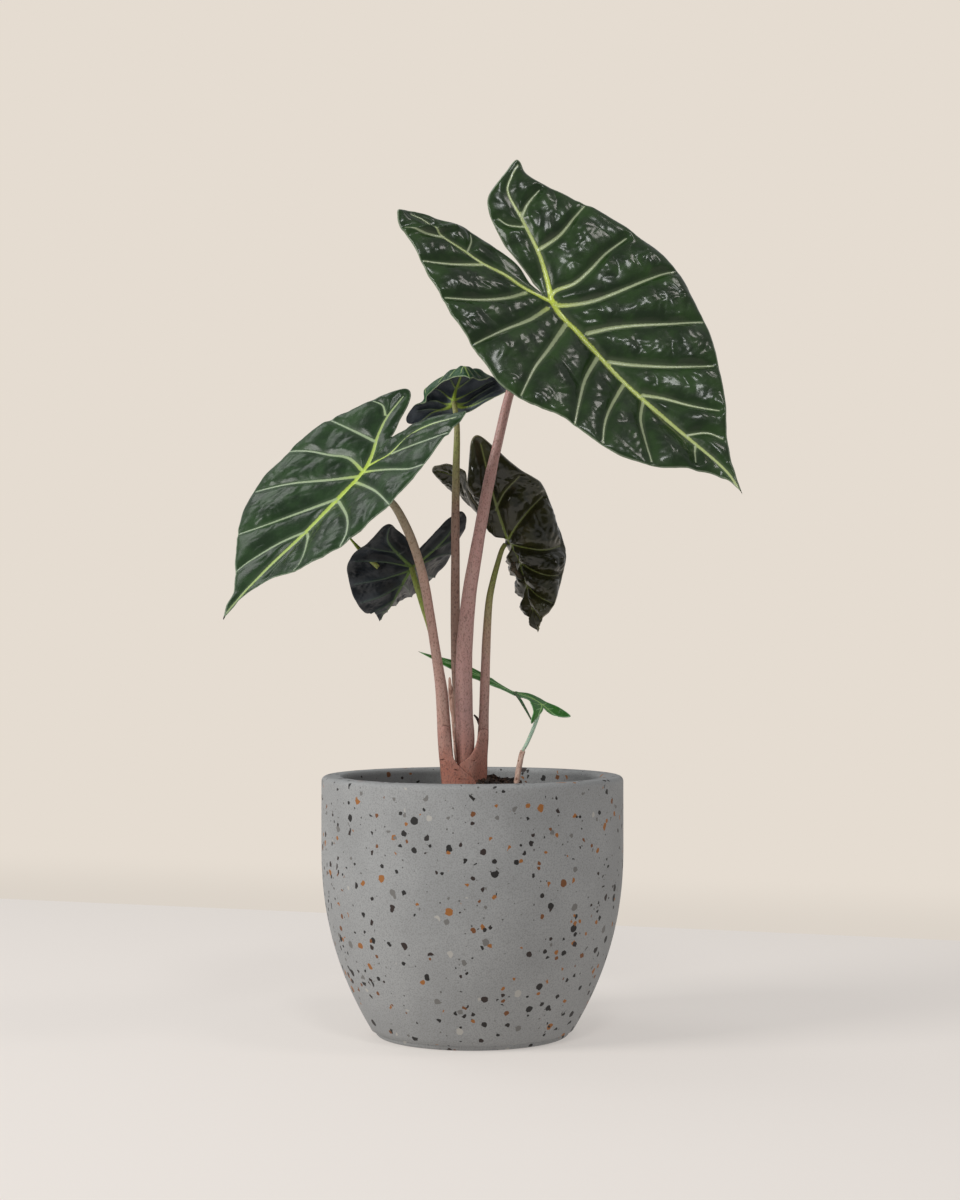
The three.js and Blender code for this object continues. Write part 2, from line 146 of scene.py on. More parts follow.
def followed(length, slope):
    """Follows a line whose slope at share s is slope(s) degrees, and gives (along, up)."""
    steps = 24
    along = np.zeros(len(length))
    up = np.zeros(len(length))
    for i in range(steps):
        angle = np.radians(slope((i + 0.5) / steps))
        along += np.cos(angle) * length / steps
        up += np.sin(angle) * length / steps
    return along, up


def spread(junction, tip, face, half_width, front, back, fold, curl, droop, lift):
    """A spread blade: its halves rise by fold degrees and turn by curl, and its ends droop and lift."""
    axis_x = unit(tip)
    axis_z = unit(np.array(face) - axis_x * np.dot(face, axis_x))
    axis_y = np.cross(axis_z, axis_x)

    def place(flat):
        x, y = flat.T
        across = abs(y)
        wide, rise = followed(across, lambda s: fold + curl * (s * across / half_width) ** 2)
        reach = abs(x) / np.where(x > 0, front, back)
        bend = np.where(x > 0, -droop, lift)
        along, up = followed(abs(x), lambda s: bend * (s * reach) ** 1.5)
        slope = np.radians(bend * reach ** 1.5) * np.sign(x)
        return (
            np.array(junction)
            + np.outer(np.sign(x) * along - rise * np.sin(slope), axis_x)
            + np.outer(np.sign(y) * wide, axis_y)
            + np.outer(up + rise * np.cos(slope), axis_z))

    return place


def pinned(junction, pins):
    """A crumpled blade: a smooth sheet through pins (x, y, dx, dy, dz), measured from the junction."""
    unit_length = 60
    ease = 1e-4
    pins = np.array(pins, float)
    held = pins[:, :2] / unit_length
    count = len(pins)

    def terms(flat):
        scaled = flat / unit_length
        square = ((scaled[:, None] - held[None]) ** 2).sum(2)
        kernel = 0.5 * square * np.log(np.maximum(square, 1e-12))
        return np.hstack([kernel, np.ones((len(flat), 1)), scaled])

    matrix = np.zeros((count + 3, count + 3))
    matrix[:count] = terms(pins[:, :2])
    matrix[count:, :count] = matrix[:count, count:].T
    matrix[range(count), range(count)] += ease
    weights = np.linalg.solve(matrix, np.vstack([pins[:, 2:], np.zeros((3, 3))]))
    return lambda flat: np.array(junction) + terms(flat) @ weights


# ---- Meshes ----------------------------------------------------------------------------------

def make_mesh(name, points, faces, materials, face_material=None, marks=None):
    """A smooth-shaded mesh from points in millimetres."""
    mesh = bpy.data.meshes.new(name)
    mesh.from_pydata((np.array(points) * METRES).tolist(), [], faces)
    for material in materials:
        mesh.materials.append(material)
    mesh.polygons.foreach_set("use_smooth", [True] * len(faces))
    if face_material is not None:
        mesh.polygons.foreach_set("material_index", face_material)
    for mark, values in (marks or {}).items():
        layer = mesh.attributes.new(mark, "FLOAT", "POINT")
        layer.data.foreach_set("value", np.array(values, np.float32))
    mesh.update()
    piece = bpy.data.objects.new(name, mesh)
    bpy.context.scene.collection.objects.link(piece)
    return piece


def finish_piece(piece, slot, *nodes):
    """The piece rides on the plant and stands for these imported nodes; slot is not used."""
    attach(piece, "root")
    if nodes:
        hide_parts(*nodes)
    return piece


def tube_faces(rings, sides, closed_ends=True):
    """Faces of a tube of rings, each with sides points, listed ring after ring."""
    faces = []
    for i in range(rings - 1):
        for j in range(sides):
            k = (j + 1) % sides
            faces.append((i * sides + j, i * sides + k, (i + 1) * sides + k, (i + 1) * sides + j))
    if closed_ends:
        faces.append(tuple(reversed(range(sides))))
        faces.append(tuple(range((rings - 1) * sides, rings * sides)))
    return faces


# ---- Materials -------------------------------------------------------------------------------

def colour(code):
    """An sRGB hex colour as the linear values that Blender's sockets take."""
    parts = [int(code[i:i + 2], 16) / 255 for i in (1, 3, 5)]
    linear = [p / 12.92 if p <= 0.04045 else ((p + 0.055) / 1.055) ** 2.4 for p in parts]
    return (*linear, 1.0)


def add(tree, kind, inputs=None, stops=None, **settings):
    """Adds a node with its settings, its ramp stops if it has any, and its inputs' values or links."""
    node = tree.nodes.new("ShaderNode" + kind)
    for key, value in settings.items():
        setattr(node, key, value)
    for key, value in (inputs or {}).items():
        if isinstance(value, bpy.types.NodeSocket):
            tree.links.new(value, node.inputs[key])
        else:
            node.inputs[key].default_value = value
    if stops:
        ramp = node.color_ramp.elements
        while len(ramp) < len(stops):
            ramp.new(0.5)
        for element, (place, value) in zip(ramp, stops):
            element.position = place
            element.color = value
    return node


def start_material(name, **sockets):
    """A new material, with uniform values set on its own shader's sockets."""
    material = bpy.data.materials.new(name)
    material.use_nodes = True
    tree = material.node_tree
    shader = tree.nodes["Principled BSDF"]
    for key, value in sockets.items():
        shader.inputs[key.replace("_", " ")].default_value = value
    return material, tree, shader


def mixed(tree, share, first, second):
    """The socket of a colour that goes from first to second."""
    return add(tree, "Mix", {0: share, 6: first, 7: second}, data_type="RGBA").outputs[2]


def ranged(tree, value, low, high, start=0.0, end=1.0):
    """The socket of a value that goes smoothly from start at low to end at high."""
    inputs = {"Value": value, "From Min": low, "From Max": high, "To Min": start, "To Max": end}
    return add(tree, "MapRange", inputs, interpolation_type="SMOOTHSTEP").outputs[0]


def per_metre(millimetres):
    """A texture scale whose cells are this many millimetres across."""
    return 1000 / millimetres


def blade_top(name, dark, mid, pale_vein, lime, margin, roughness, coat, wax=0.14):
    """The waxy upper cuticle of a living alocasia leaf: deep dark panels with a satin shine,
    pale veins that turn lime towards the petiole, and a thin pale rim."""
    material, tree, shader = start_material(
        name, IOR=1.45, Specular_IOR_Level=0.18, Coat_Weight=coat, Coat_Roughness=wax, Coat_IOR=1.45)
    place = add(tree, "TexCoord").outputs["Object"]
    vein = add(tree, "Attribute", attribute_name="vein").outputs["Fac"]
    rank = add(tree, "Attribute", attribute_name="rank").outputs["Fac"]
    edge = add(tree, "Attribute", attribute_name="edge").outputs["Fac"]
    swell = add(tree, "Attribute", attribute_name="swell").outputs["Fac"]
    clouds = add(tree, "TexNoise", {
        "Vector": place, "Scale": per_metre(14), "Detail": 4.0}).outputs["Fac"]
    grain = add(tree, "TexNoise", {
        "Vector": place, "Scale": per_metre(1.1), "Detail": 3.0}).outputs["Fac"]
    wobble = add(tree, "Math", {0: grain, 1: 0.9, 2: vein}, operation="MULTIPLY_ADD").outputs[0]
    on_vein = ranged(tree, wobble, 1.15, 1.8, 1.0, 0.0)
    halo = ranged(tree, vein, 1.2, 3.6, 0.12, 0.0)
    panel = mixed(tree, ranged(tree, clouds, 0.35, 0.7), colour(dark), colour(mid))
    lit_panel = mixed(tree, ranged(tree, swell, 0.1, 1.0, 0.3, 0.0), panel, colour(mid))
    near_vein = mixed(tree, halo, lit_panel, colour(pale_vein))
    vein_colour = mixed(tree, rank, colour(lime), colour(pale_vein))
    veined = mixed(tree, on_vein, near_vein, vein_colour)
    on_edge = ranged(tree, edge, 0.25, 0.95, 0.75, 0.0)
    tree.links.new(mixed(tree, on_edge, veined, colour(margin)), shader.inputs["Base Color"])
    tree.links.new(ranged(tree, clouds, 0.3, 0.7, roughness - 0.05, roughness + 0.08),
                   shader.inputs["Roughness"])
    # Fine puckers about 3.2 mm across, and the cells' own grain, drawn coarse enough to show
    pucker = add(tree, "TexNoise", {
        "Vector": place, "Scale": per_metre(3.2), "Detail": 2.0, "Distortion": 0.6}).outputs["Fac"]
    fine = add(tree, "Bump", {"Height": grain, "Strength": 0.25, "Distance": 0.0003}).outputs[0]
    bump = add(tree, "Bump", {"Height": pucker, "Strength": 0.3, "Distance": 0.001, "Normal": fine})
    tree.links.new(bump.outputs[0], shader.inputs["Normal"])
    return material


def blade_under(name, dark, mid, vein_low, vein_high, roughness):
    """The matt underside of the leaf: slate or plum grey, with the veins standing proud of it."""
    material, tree, shader = start_material(name, IOR=1.42)
    place = add(tree, "TexCoord").outputs["Object"]
    vein = add(tree, "Attribute", attribute_name="vein").outputs["Fac"]
    rank = add(tree, "Attribute", attribute_name="rank").outputs["Fac"]
    clouds = add(tree, "TexNoise", {
        "Vector": place, "Scale": per_metre(11), "Detail": 5.0}).outputs["Fac"]
    grain = add(tree, "TexNoise", {
        "Vector": place, "Scale": per_metre(0.9), "Detail": 3.0}).outputs["Fac"]
    panel = mixed(tree, ranged(tree, clouds, 0.35, 0.68), colour(dark), colour(mid))
    halo = mixed(tree, ranged(tree, vein, 1.3, 4.5, 0.35, 0.0), panel, colour(vein_high))
    vein_colour = mixed(tree, rank, colour(vein_low), colour(vein_high))
    wobble = add(tree, "Math", {0: grain, 1: 0.8, 2: vein}, operation="MULTIPLY_ADD").outputs[0]
    veined = mixed(tree, ranged(tree, wobble, 1.1, 1.9, 1.0, 0.0), halo, vein_colour)
    tree.links.new(veined, shader.inputs["Base Color"])
    tree.links.new(ranged(tree, clouds, 0.3, 0.7, roughness - 0.06, roughness + 0.06),
                   shader.inputs["Roughness"])
    bump = add(tree, "Bump", {"Height": grain, "Strength": 0.4, "Distance": 0.0003})
    tree.links.new(bump.outputs[0], shader.inputs["Normal"])
    return material


def petiole_skin(name, low, high, speckle, green_from, green_to, roughness=0.5, margin="#4e2f27"):
    """The smooth skin of a fleshy petiole: dusty pink below, turning green towards the leaf, with
    fine dark flecks drawn out along it. Where a thin sheet carries a margin mark, its edges are
    darkened to the margin colour as painted crease shade."""
    material, tree, shader = start_material(
        name, IOR=1.42, Subsurface_Weight=0.06, Subsurface_Scale=0.002)
    place = add(tree, "TexCoord").outputs["Object"]
    height = add(tree, "SeparateXYZ", {0: place}).outputs["Z"]
    drawn_out = add(tree, "Mapping", {"Vector": place, "Scale": (1.0, 1.0, 0.6)}).outputs[0]
    flecks = add(tree, "TexNoise", {
        "Vector": drawn_out, "Scale": per_metre(0.9), "Detail": 2.0, "Roughness": 0.7}).outputs["Fac"]
    clouds = add(tree, "TexNoise", {
        "Vector": drawn_out, "Scale": per_metre(9), "Detail": 4.0}).outputs["Fac"]
    sway = add(tree, "Math", {0: clouds, 1: 0.03, 2: height}, operation="MULTIPLY_ADD").outputs[0]
    greening = ranged(tree, sway, green_from * METRES + 0.015, green_to * METRES + 0.015)
    russet = ranged(tree, height, 0.15, 0.195, 0.85, 0.0)
    based = mixed(tree, russet, colour(low), colour("#b5725e"))
    skin = mixed(tree, greening, based, colour(high))
    paler = mixed(tree, ranged(tree, clouds, 0.4, 0.75, 0.0, 0.3), skin, colour("#b9a094"))
    flecked = mixed(tree, ranged(tree, flecks, 0.5, 0.66, 0.0, 0.6), paler, colour(speckle))
    # Painted crease shade: near a sheet's edges its margin mark darkens the skin to the margin colour
    torn_patches_and_edge_shade = add(tree, "Attribute", attribute_name="margin").outputs["Fac"]
    edge_shaded = mixed(tree, ranged(tree, torn_patches_and_edge_shade, 0.2, 0.9, 0.0, 0.75), flecked, colour(margin))
    tree.links.new(edge_shaded, shader.inputs["Base Color"])
    tree.links.new(ranged(tree, flecks, 0.3, 0.7, roughness - 0.08, roughness + 0.1),
                   shader.inputs["Roughness"])
    bump = add(tree, "Bump", {"Height": flecks, "Strength": 0.35, "Distance": 0.0003})
    tree.links.new(bump.outputs[0], shader.inputs["Normal"])
    return material


def papery_sheath(name, pale, brown, dark):
    """A dried leaf base: thin, papery and matt, with long fibres and ripped brown patches."""
    material, tree, shader = start_material(name, IOR=1.4)
    place = add(tree, "TexCoord").outputs["Object"]
    drawn_out = add(tree, "Mapping", {"Vector": place, "Scale": (1.0, 1.0, 0.15)}).outputs[0]
    fibres = add(tree, "TexNoise", {
        "Vector": drawn_out, "Scale": per_metre(0.7), "Detail": 3.0}).outputs["Fac"]
    patches = add(tree, "TexNoise", {
        "Vector": place, "Scale": per_metre(3), "Detail": 3.0}).outputs["Fac"]
    body = mixed(tree, ranged(tree, fibres, 0.35, 0.65), colour(pale), colour(brown))
    torn_patches_and_edge_shade = mixed(tree, ranged(tree, patches, 0.56, 0.66, 0.0, 0.85), body, colour(dark))
    tree.links.new(torn_patches_and_edge_shade, shader.inputs["Base Color"])
    tree.links.new(ranged(tree, patches, 0.3, 0.7, 0.65, 0.9), shader.inputs["Roughness"])
    bump = add(tree, "Bump", {"Height": fibres, "Strength": 0.7, "Distance": 0.0004})
    tree.links.new(bump.outputs[0], shader.inputs["Normal"])
    return material


def terrazzo():
    """Fine cement cast with stone chips and ground flush: matt mid grey, clouded, with small air
    pits and worn chips of dark brown, black and rust-coloured stone 2 to 5 mm across."""
    material, tree, shader = start_material("ground_terrazzo", IOR=1.5)
    place = add(tree, "TexCoord").outputs["Object"]
    clouds = add(tree, "TexNoise", {
        "Vector": place, "Scale": per_metre(40), "Detail": 6.0}).outputs["Fac"]
    sand = add(tree, "TexNoise", {"Vector": place, "Scale": per_metre(0.8), "Detail": 2.0}).outputs["Fac"]
    cement = mixed(tree, ranged(tree, clouds, 0.3, 0.7), colour("#919394"), colour("#9b9d9e"))
    sanded = mixed(tree, ranged(tree, sand, 0.4, 0.72, 0.0, 0.5), cement, colour("#747473"))
    base = sanded
    flush = None
    # A chip is the middle of a cell with its corners worn off, and only some cells keep one
    for size, kept, seed in STONE_CHIPS:
        moved = add(tree, "VectorMath", {0: place, 1: (seed, seed, seed)}).outputs[0]
        crumpled = add(tree, "TexNoise", {"Vector": moved, "Scale": per_metre(2.5)}).outputs["Color"]
        bent = add(tree, "VectorMath", {0: crumpled, 1: (0.0016,) * 3, 2: moved},
                   operation="MULTIPLY_ADD").outputs[0]
        inputs = {"Vector": bent, "Scale": per_metre(size), "Randomness": 1.0}
        to_edge = add(tree, "TexVoronoi", inputs, feature="DISTANCE_TO_EDGE").outputs["Distance"]
        cell = add(tree, "TexVoronoi", inputs, feature="F1")
        parts = add(tree, "SeparateColor", {0: cell.outputs["Color"]})
        rounded = ranged(tree, cell.outputs["Distance"], 0.34, 0.38, 1.0, 0.0)
        patchy = add(tree, "TexNoise", {
            "Vector": moved, "Scale": per_metre(45), "Detail": 1.0}).outputs["Fac"]
        chance = add(tree, "Math", {0: patchy, 1: -0.5, 2: parts.outputs[0]},
                     operation="MULTIPLY_ADD").outputs[0]
        chosen = add(tree, "Math", {0: chance, 1: kept - 0.25}, operation="LESS_THAN").outputs[0]
        grown = add(tree, "Math", {0: parts.outputs[2], 1: -0.1, 2: to_edge},
                    operation="MULTIPLY_ADD").outputs[0]
        within = ranged(tree, grown, 0.08, 0.11)
        shaped = add(tree, "Math", {0: rounded, 1: within}, operation="MULTIPLY").outputs[0]
        chip = add(tree, "Math", {0: chosen, 1: shaped}, operation="MULTIPLY").outputs[0]
        stone = add(tree, "ValToRGB", {"Fac": parts.outputs[1]}, stops=(
            (0.0, colour("#0f0d0c")), (0.28, colour("#241612")), (0.42, colour("#171210")),
            (0.52, colour("#935c24")), (0.68, colour("#6f421c")), (0.8, colour("#6c6b69")),
            (0.95, colour("#a9a7a2"))))
        stone.color_ramp.interpolation = "CONSTANT"
        base = mixed(tree, chip, base, stone.outputs[0])
        flush = chip if flush is None else add(
            tree, "Math", {0: flush, 1: chip}, operation="MAXIMUM").outputs[0]
    pits = add(tree, "TexVoronoi", {"Vector": place, "Scale": per_metre(3.5)}, feature="F1")
    depth = add(tree, "SeparateColor", {0: pits.outputs["Color"]}).outputs[0]
    wide = ranged(tree, depth, 0.55, 1.0, 0.0, 0.16)
    pit = add(tree, "Math", {0: pits.outputs["Distance"], 1: wide}, operation="LESS_THAN").outputs[0]
    open_pit = add(tree, "Math", {0: pit, 1: flush}, operation="SUBTRACT", use_clamp=True).outputs[0]
    # Open pits are painted a darker grey as shade in the hollows, besides being sunk by the bump
    pit_shaded = mixed(tree, open_pit, base, colour("#5a5a58"))
    tree.links.new(pit_shaded, shader.inputs["Base Color"])
    tree.links.new(ranged(tree, flush, 0.0, 1.0, 0.78, 0.6), shader.inputs["Roughness"])
    sandy = add(tree, "Bump", {"Height": sand, "Strength": 0.3, "Distance": 0.0003}).outputs[0]
    sunk = add(tree, "Bump", {"Height": open_pit, "Strength": 0.8, "Distance": 0.0006, "Normal": sandy},
               invert=True)
    tree.links.new(sunk.outputs[0], shader.inputs["Normal"])
    return material


def potting_soil(name, dark, brown):
    """Moist peat and bark: near black, matt, with brown fibres and a faint damp shine."""
    material, tree, shader = start_material(name, IOR=1.4)
    place = add(tree, "TexCoord").outputs["Object"]
    lumps = add(tree, "TexNoise", {"Vector": place, "Scale": per_metre(4), "Detail": 5.0}).outputs["Fac"]
    crumbs = add(tree, "TexVoronoi", {"Vector": place, "Scale": per_metre(1.6)}).outputs["Color"]
    tone = add(tree, "SeparateColor", {0: crumbs}).outputs[0]
    peat = mixed(tree, ranged(tree, lumps, 0.4, 0.65), colour(dark), colour(brown))
    mottled = mixed(tree, ranged(tree, tone, 0.75, 1.0, 0.0, 0.5), peat, colour("#6b4c38"))
    tree.links.new(mottled, shader.inputs["Base Color"])
    tree.links.new(ranged(tree, lumps, 0.3, 0.7, 0.7, 0.95), shader.inputs["Roughness"])
    bump = add(tree, "Bump", {"Height": lumps, "Strength": 0.9, "Distance": 0.0012})
    tree.links.new(bump.outputs[0], shader.inputs["Normal"])
    return material


# ---- Blades ----------------------------------------------------------------------------------

def blade_points(margin, veins, step):
    """Flat points for a blade: its margin first, then its veins and an even grid between them."""
    low = margin.min(0)
    high = margin.max(0)
    rows = []
    for i, y in enumerate(np.arange(low[1], high[1], step * 0.866)):
        x = np.arange(low[0] + (i % 2) * step / 2, high[0], step)
        rows.append(np.column_stack([x, np.full(len(x), y)]))
    grid = np.vstack(rows)
    cords = []
    for line, start, end in veins:
        span = np.gradient(line, axis=0)
        side = np.column_stack([-span[:, 1], span[:, 0]])
        side /= np.linalg.norm(side, axis=1)[:, None]
        half = np.linspace(start, end, len(line))[:, None]
        cords += [line, line + side * half, line - side * half]
    kept = np.zeros((0, 2))
    for cord in cords:
        if len(kept):
            gap = np.sqrt(((cord[:, None] - kept[None]) ** 2).sum(2)).min(1)
            cord = cord[gap > step * 0.45]
        kept = np.vstack([kept, cord])
    kept = kept[inside(kept, margin)]
    kept = kept[nearest_on(kept, np.vstack([margin, margin[:1]]))[0] > step * 0.5]
    grid = grid[inside(grid, margin)]
    grid = grid[nearest_on(grid, np.vstack([margin, margin[:1]]))[0] > step * 0.55]
    near = np.full(len(grid), 1e9)
    for part in np.array_split(kept, max(1, len(kept) // 200)):
        near = np.minimum(near, ((grid[:, None] - part[None]) ** 2).sum(2).min(1))
    return np.vstack([margin, kept, grid[near > (step * 0.55) ** 2]])


def vein_marks(flat, veins, limes):
    """For each flat point: distance to the nearest vein as a share of its half width, the gap in mm,
    how far it is from a tie between two veins, the length along that vein, and its lime share."""
    gaps = []
    runs = []
    shares = []
    ranks = []
    for (line, start, end), (lime_start, lime_end) in zip(veins, limes):
        gap, run = nearest_on(flat, line)
        length = np.linalg.norm(np.diff(line, axis=0), axis=1).sum()
        along = run / length
        gaps.append(gap)
        runs.append(run)
        shares.append(gap / (start + (end - start) * along))
        ranks.append(lime_start + (lime_end - lime_start) * along)
    gaps = np.array(gaps)
    order = np.argsort(gaps, axis=0)
    lowest = np.argmin(shares, axis=0)
    share = np.min(shares, axis=0)
    rank = np.take_along_axis(np.array(ranks), lowest[None], 0)[0]
    nearest, second = np.take_along_axis(gaps, order[:2], 0)
    run = np.take_along_axis(np.array(runs), order[:1], 0)[0]
    return share, nearest, second - nearest, run, rank


def blade(name, sides, shape, veins, looks, slot, swell=2.0, pucker=0.5, ruffle=1.0, step=MESH_STEP,
          creases=(), seed=1.0, ribs=7.0, nibble=0.3, crinkle=0.1):
    """A leaf blade of two skins that meet at the margin, quilted between its veins."""
    left, right = (smooth_line(side, step) for side in sides)
    margin = np.vstack([left, right[1:-1][::-1]])
    outward = np.gradient(margin, axis=0)[:, ::-1] * (1, -1)
    outward /= np.maximum(np.linalg.norm(outward, axis=1), 1e-6)[:, None]
    nibbled = noise_at(np.column_stack([margin, np.zeros(len(margin))]), 8, seed + 6)
    margin = margin + outward * (nibble * nibbled)[:, None]
    cords = [(smooth_line(points, step), start, end) for points, start, end, *_ in veins]
    limes = [vein[3:5] for vein in veins]
    flat = blade_points(margin, cords, step)
    rim = len(margin)
    edges = [(i, (i + 1) % rim) for i in range(rim)]
    drawing = delaunay_2d_cdt([Vector(p) for p in flat], edges, [], 1, 1e-5, False)
    flat = np.array([tuple(p) for p in drawing[0]])
    triangles = np.array(drawing[2])
    triangles = triangles[inside(flat[triangles].mean(1), margin)]
    a, b, c = (flat[triangles[:, k]] for k in range(3))
    turn = (b[:, 0] - a[:, 0]) * (c[:, 1] - a[:, 1]) - (b[:, 1] - a[:, 1]) * (c[:, 0] - a[:, 0])
    triangles[turn < 0] = triangles[turn < 0][:, ::-1]

    share, gap, tie, run, rank = vein_marks(flat, cords, limes)
    to_edge = nearest_on(flat, np.vstack([margin, margin[:1]]))[0]
    from_junction = np.linalg.norm(flat, axis=1)
    probe = 0.3
    middle = shape(flat)
    normal = np.cross(
        shape(flat + (probe, 0)) - shape(flat - (probe, 0)),
        shape(flat + (0, probe)) - shape(flat - (0, probe)))
    normal /= np.linalg.norm(normal, axis=1)[:, None]

    # The blade swells between its veins, and small ribs run off each vein towards the margin
    flat3 = np.column_stack([flat, np.zeros(len(flat))])
    bulge = (1 - np.exp(-gap / 4.5)) * (1 - np.exp(-to_edge / 5))
    slow = noise_at(flat3, 22, seed)
    fine = noise_at(flat3, 7, seed + 1)
    sharp = noise_at(flat3, 3.2, seed + 2)
    phase = (run - 0.7 * gap) / ribs + 0.55 * fine + 0.5 * slow
    rib = np.abs(np.sin(math.pi * phase)) ** 0.8
    quiet = eased(gap, 0.8, 5) * eased(tie, 0.0, 4.0) * eased(to_edge, 0.5, 6)
    drawn = np.column_stack([flat[:, 0] * 0.6, flat[:, 1], np.zeros(len(flat))])
    broad = np.abs(noise_at(drawn, 15, seed + 4))
    small = np.abs(noise_at(drawn, 6, seed + 5))
    domes = 2.4 * broad + 0.7 * small * (0.6 + slow)
    ridges = 0.4 * quiet * rib * (0.7 + 0.9 * slow)
    lumps = pucker * (ridges + 1.3 * domes * eased(gap, 0.5, 5) + crinkle * sharp * quiet)
    wave = ruffle * noise_at(flat3, 19, seed + 3) * np.exp(-to_edge / 7)
    cord = 0.3 * np.clip(1 - share ** 2, 0, 1)
    height = swell * bulge * (1 + 0.35 * slow) + lumps + wave - swell * 0.5
    for start, end, tall, wide in creases:
        away = nearest_on(flat, np.array([start, end], float))[0]
        height += tall * np.exp(-(away / wide) ** 2)
    skin = BLADE_THICKNESS / 2 * (1 - np.exp(-to_edge / 0.6))
    widest = max(start for _, start, _ in cords)
    fading = 0.35 + 0.65 * np.exp(-from_junction / 60)
    keel = 0.85 * widest * np.clip(1 - (share / 1.3) ** 2, 0, 1) * fading
    top = middle + normal * (height + skin + cord)[:, None]
    under = middle + normal * (height - skin - keel * eased(to_edge, 0, 2))[:, None]

    on_rim = to_edge < 1e-4
    lower = np.cumsum(~on_rim) - 1 + len(flat)
    lower[on_rim] = np.nonzero(on_rim)[0]
    points = np.vstack([top, under[~on_rim]])
    faces = triangles.tolist() + lower[triangles][:, ::-1].tolist()
    marks = {
        "vein": np.clip(share, 0, 12),
        "rank": np.clip(rank * (1 - 0.7 * np.exp(-(from_junction / 11) ** 2)), 0, 1),
        "edge": np.clip(to_edge, 0, 10),
        "swell": np.clip(bulge, 0, 1),
    }
    marks = {mark: np.concatenate([values, values[~on_rim]]) for mark, values in marks.items()}
    index = [0] * len(triangles) + [1] * len(triangles)
    piece = make_mesh(name, points, faces, looks, index, marks)
    return finish_piece(piece, slot, name)


def plain_veins(front, back, width, lime, cord=1.2):
    """The veins of a small leaf: a midrib, two ribs into the lobes and paired laterals."""
    veins = [([(0, 0), (front * 0.5, 0), (front * 0.96, 0)], cord, cord * 0.4, lime, 0.8)]
    for side in (1, -1):
        w = width * side
        veins.append(([(0, 0), (-0.2 * back, 0.2 * w), (-0.55 * back, 0.4 * w), (-0.93 * back, 0.56 * w)],
                      cord * 0.8, cord * 0.35, lime + 0.1, 0.9))
        laterals = (
            [(-0.3 * back, 0.24 * w), (-0.42 * back, 0.52 * w), (-0.55 * back, 0.78 * w)],
            [(-0.02 * back, 0.05 * w), (-0.12 * back, 0.45 * w), (-0.2 * back, 0.9 * w)],
            [(0.03 * front, 0), (0.16 * front, 0.42 * w), (0.24 * front, 0.88 * w)],
            [(0.25 * front, 0), (0.38 * front, 0.33 * w), (0.5 * front, 0.72 * w)],
            [(0.48 * front, 0), (0.6 * front, 0.22 * w), (0.71 * front, 0.46 * w)],
            [(0.7 * front, 0), (0.78 * front, 0.1 * w), (0.86 * front, 0.17 * w)],
        )
        for points in laterals:
            veins.append((points, cord * 0.5, cord * 0.25, 0.75, 1.0))
    return veins


def mirrored(side):
    return [(x, -y) for x, y in side]


BIG_LEFT = [
    (-8, -0.8), (-16, -0.3), (-35, 0.2), (-45, 1), (-57, 3.5), (-69, 7), (-76, 12), (-80, 20),
    (-83, 30), (-86.5, 40), (-84, 42.5), (-75, 41), (-60, 46.5), (-44, 55), (-24, 64), (0, 71),
    (26, 74), (50, 68), (74, 60), (98, 46), (116, 34), (133, 19.5), (146, 10.5), (155, 5.5),
    (166, 0),
]
BIG_RIGHT = [
    (-8, -0.8), (-16, -1.6), (-26, -1.4), (-38, -2.2), (-50, -5.5), (-60, -10.5), (-70, -17),
    (-79, -25.5), (-86, -32.5), (-91, -39), (-94.5, -45), (-91, -48.5), (-85, -52), (-74, -53),
    (-56, -57), (-36, -61), (-12, -66), (12, -68), (36, -70), (56, -62), (74, -53), (98, -47),
    (118, -37), (128, -27), (137, -13), (146, -3), (155, 0.5), (166, 0),
]
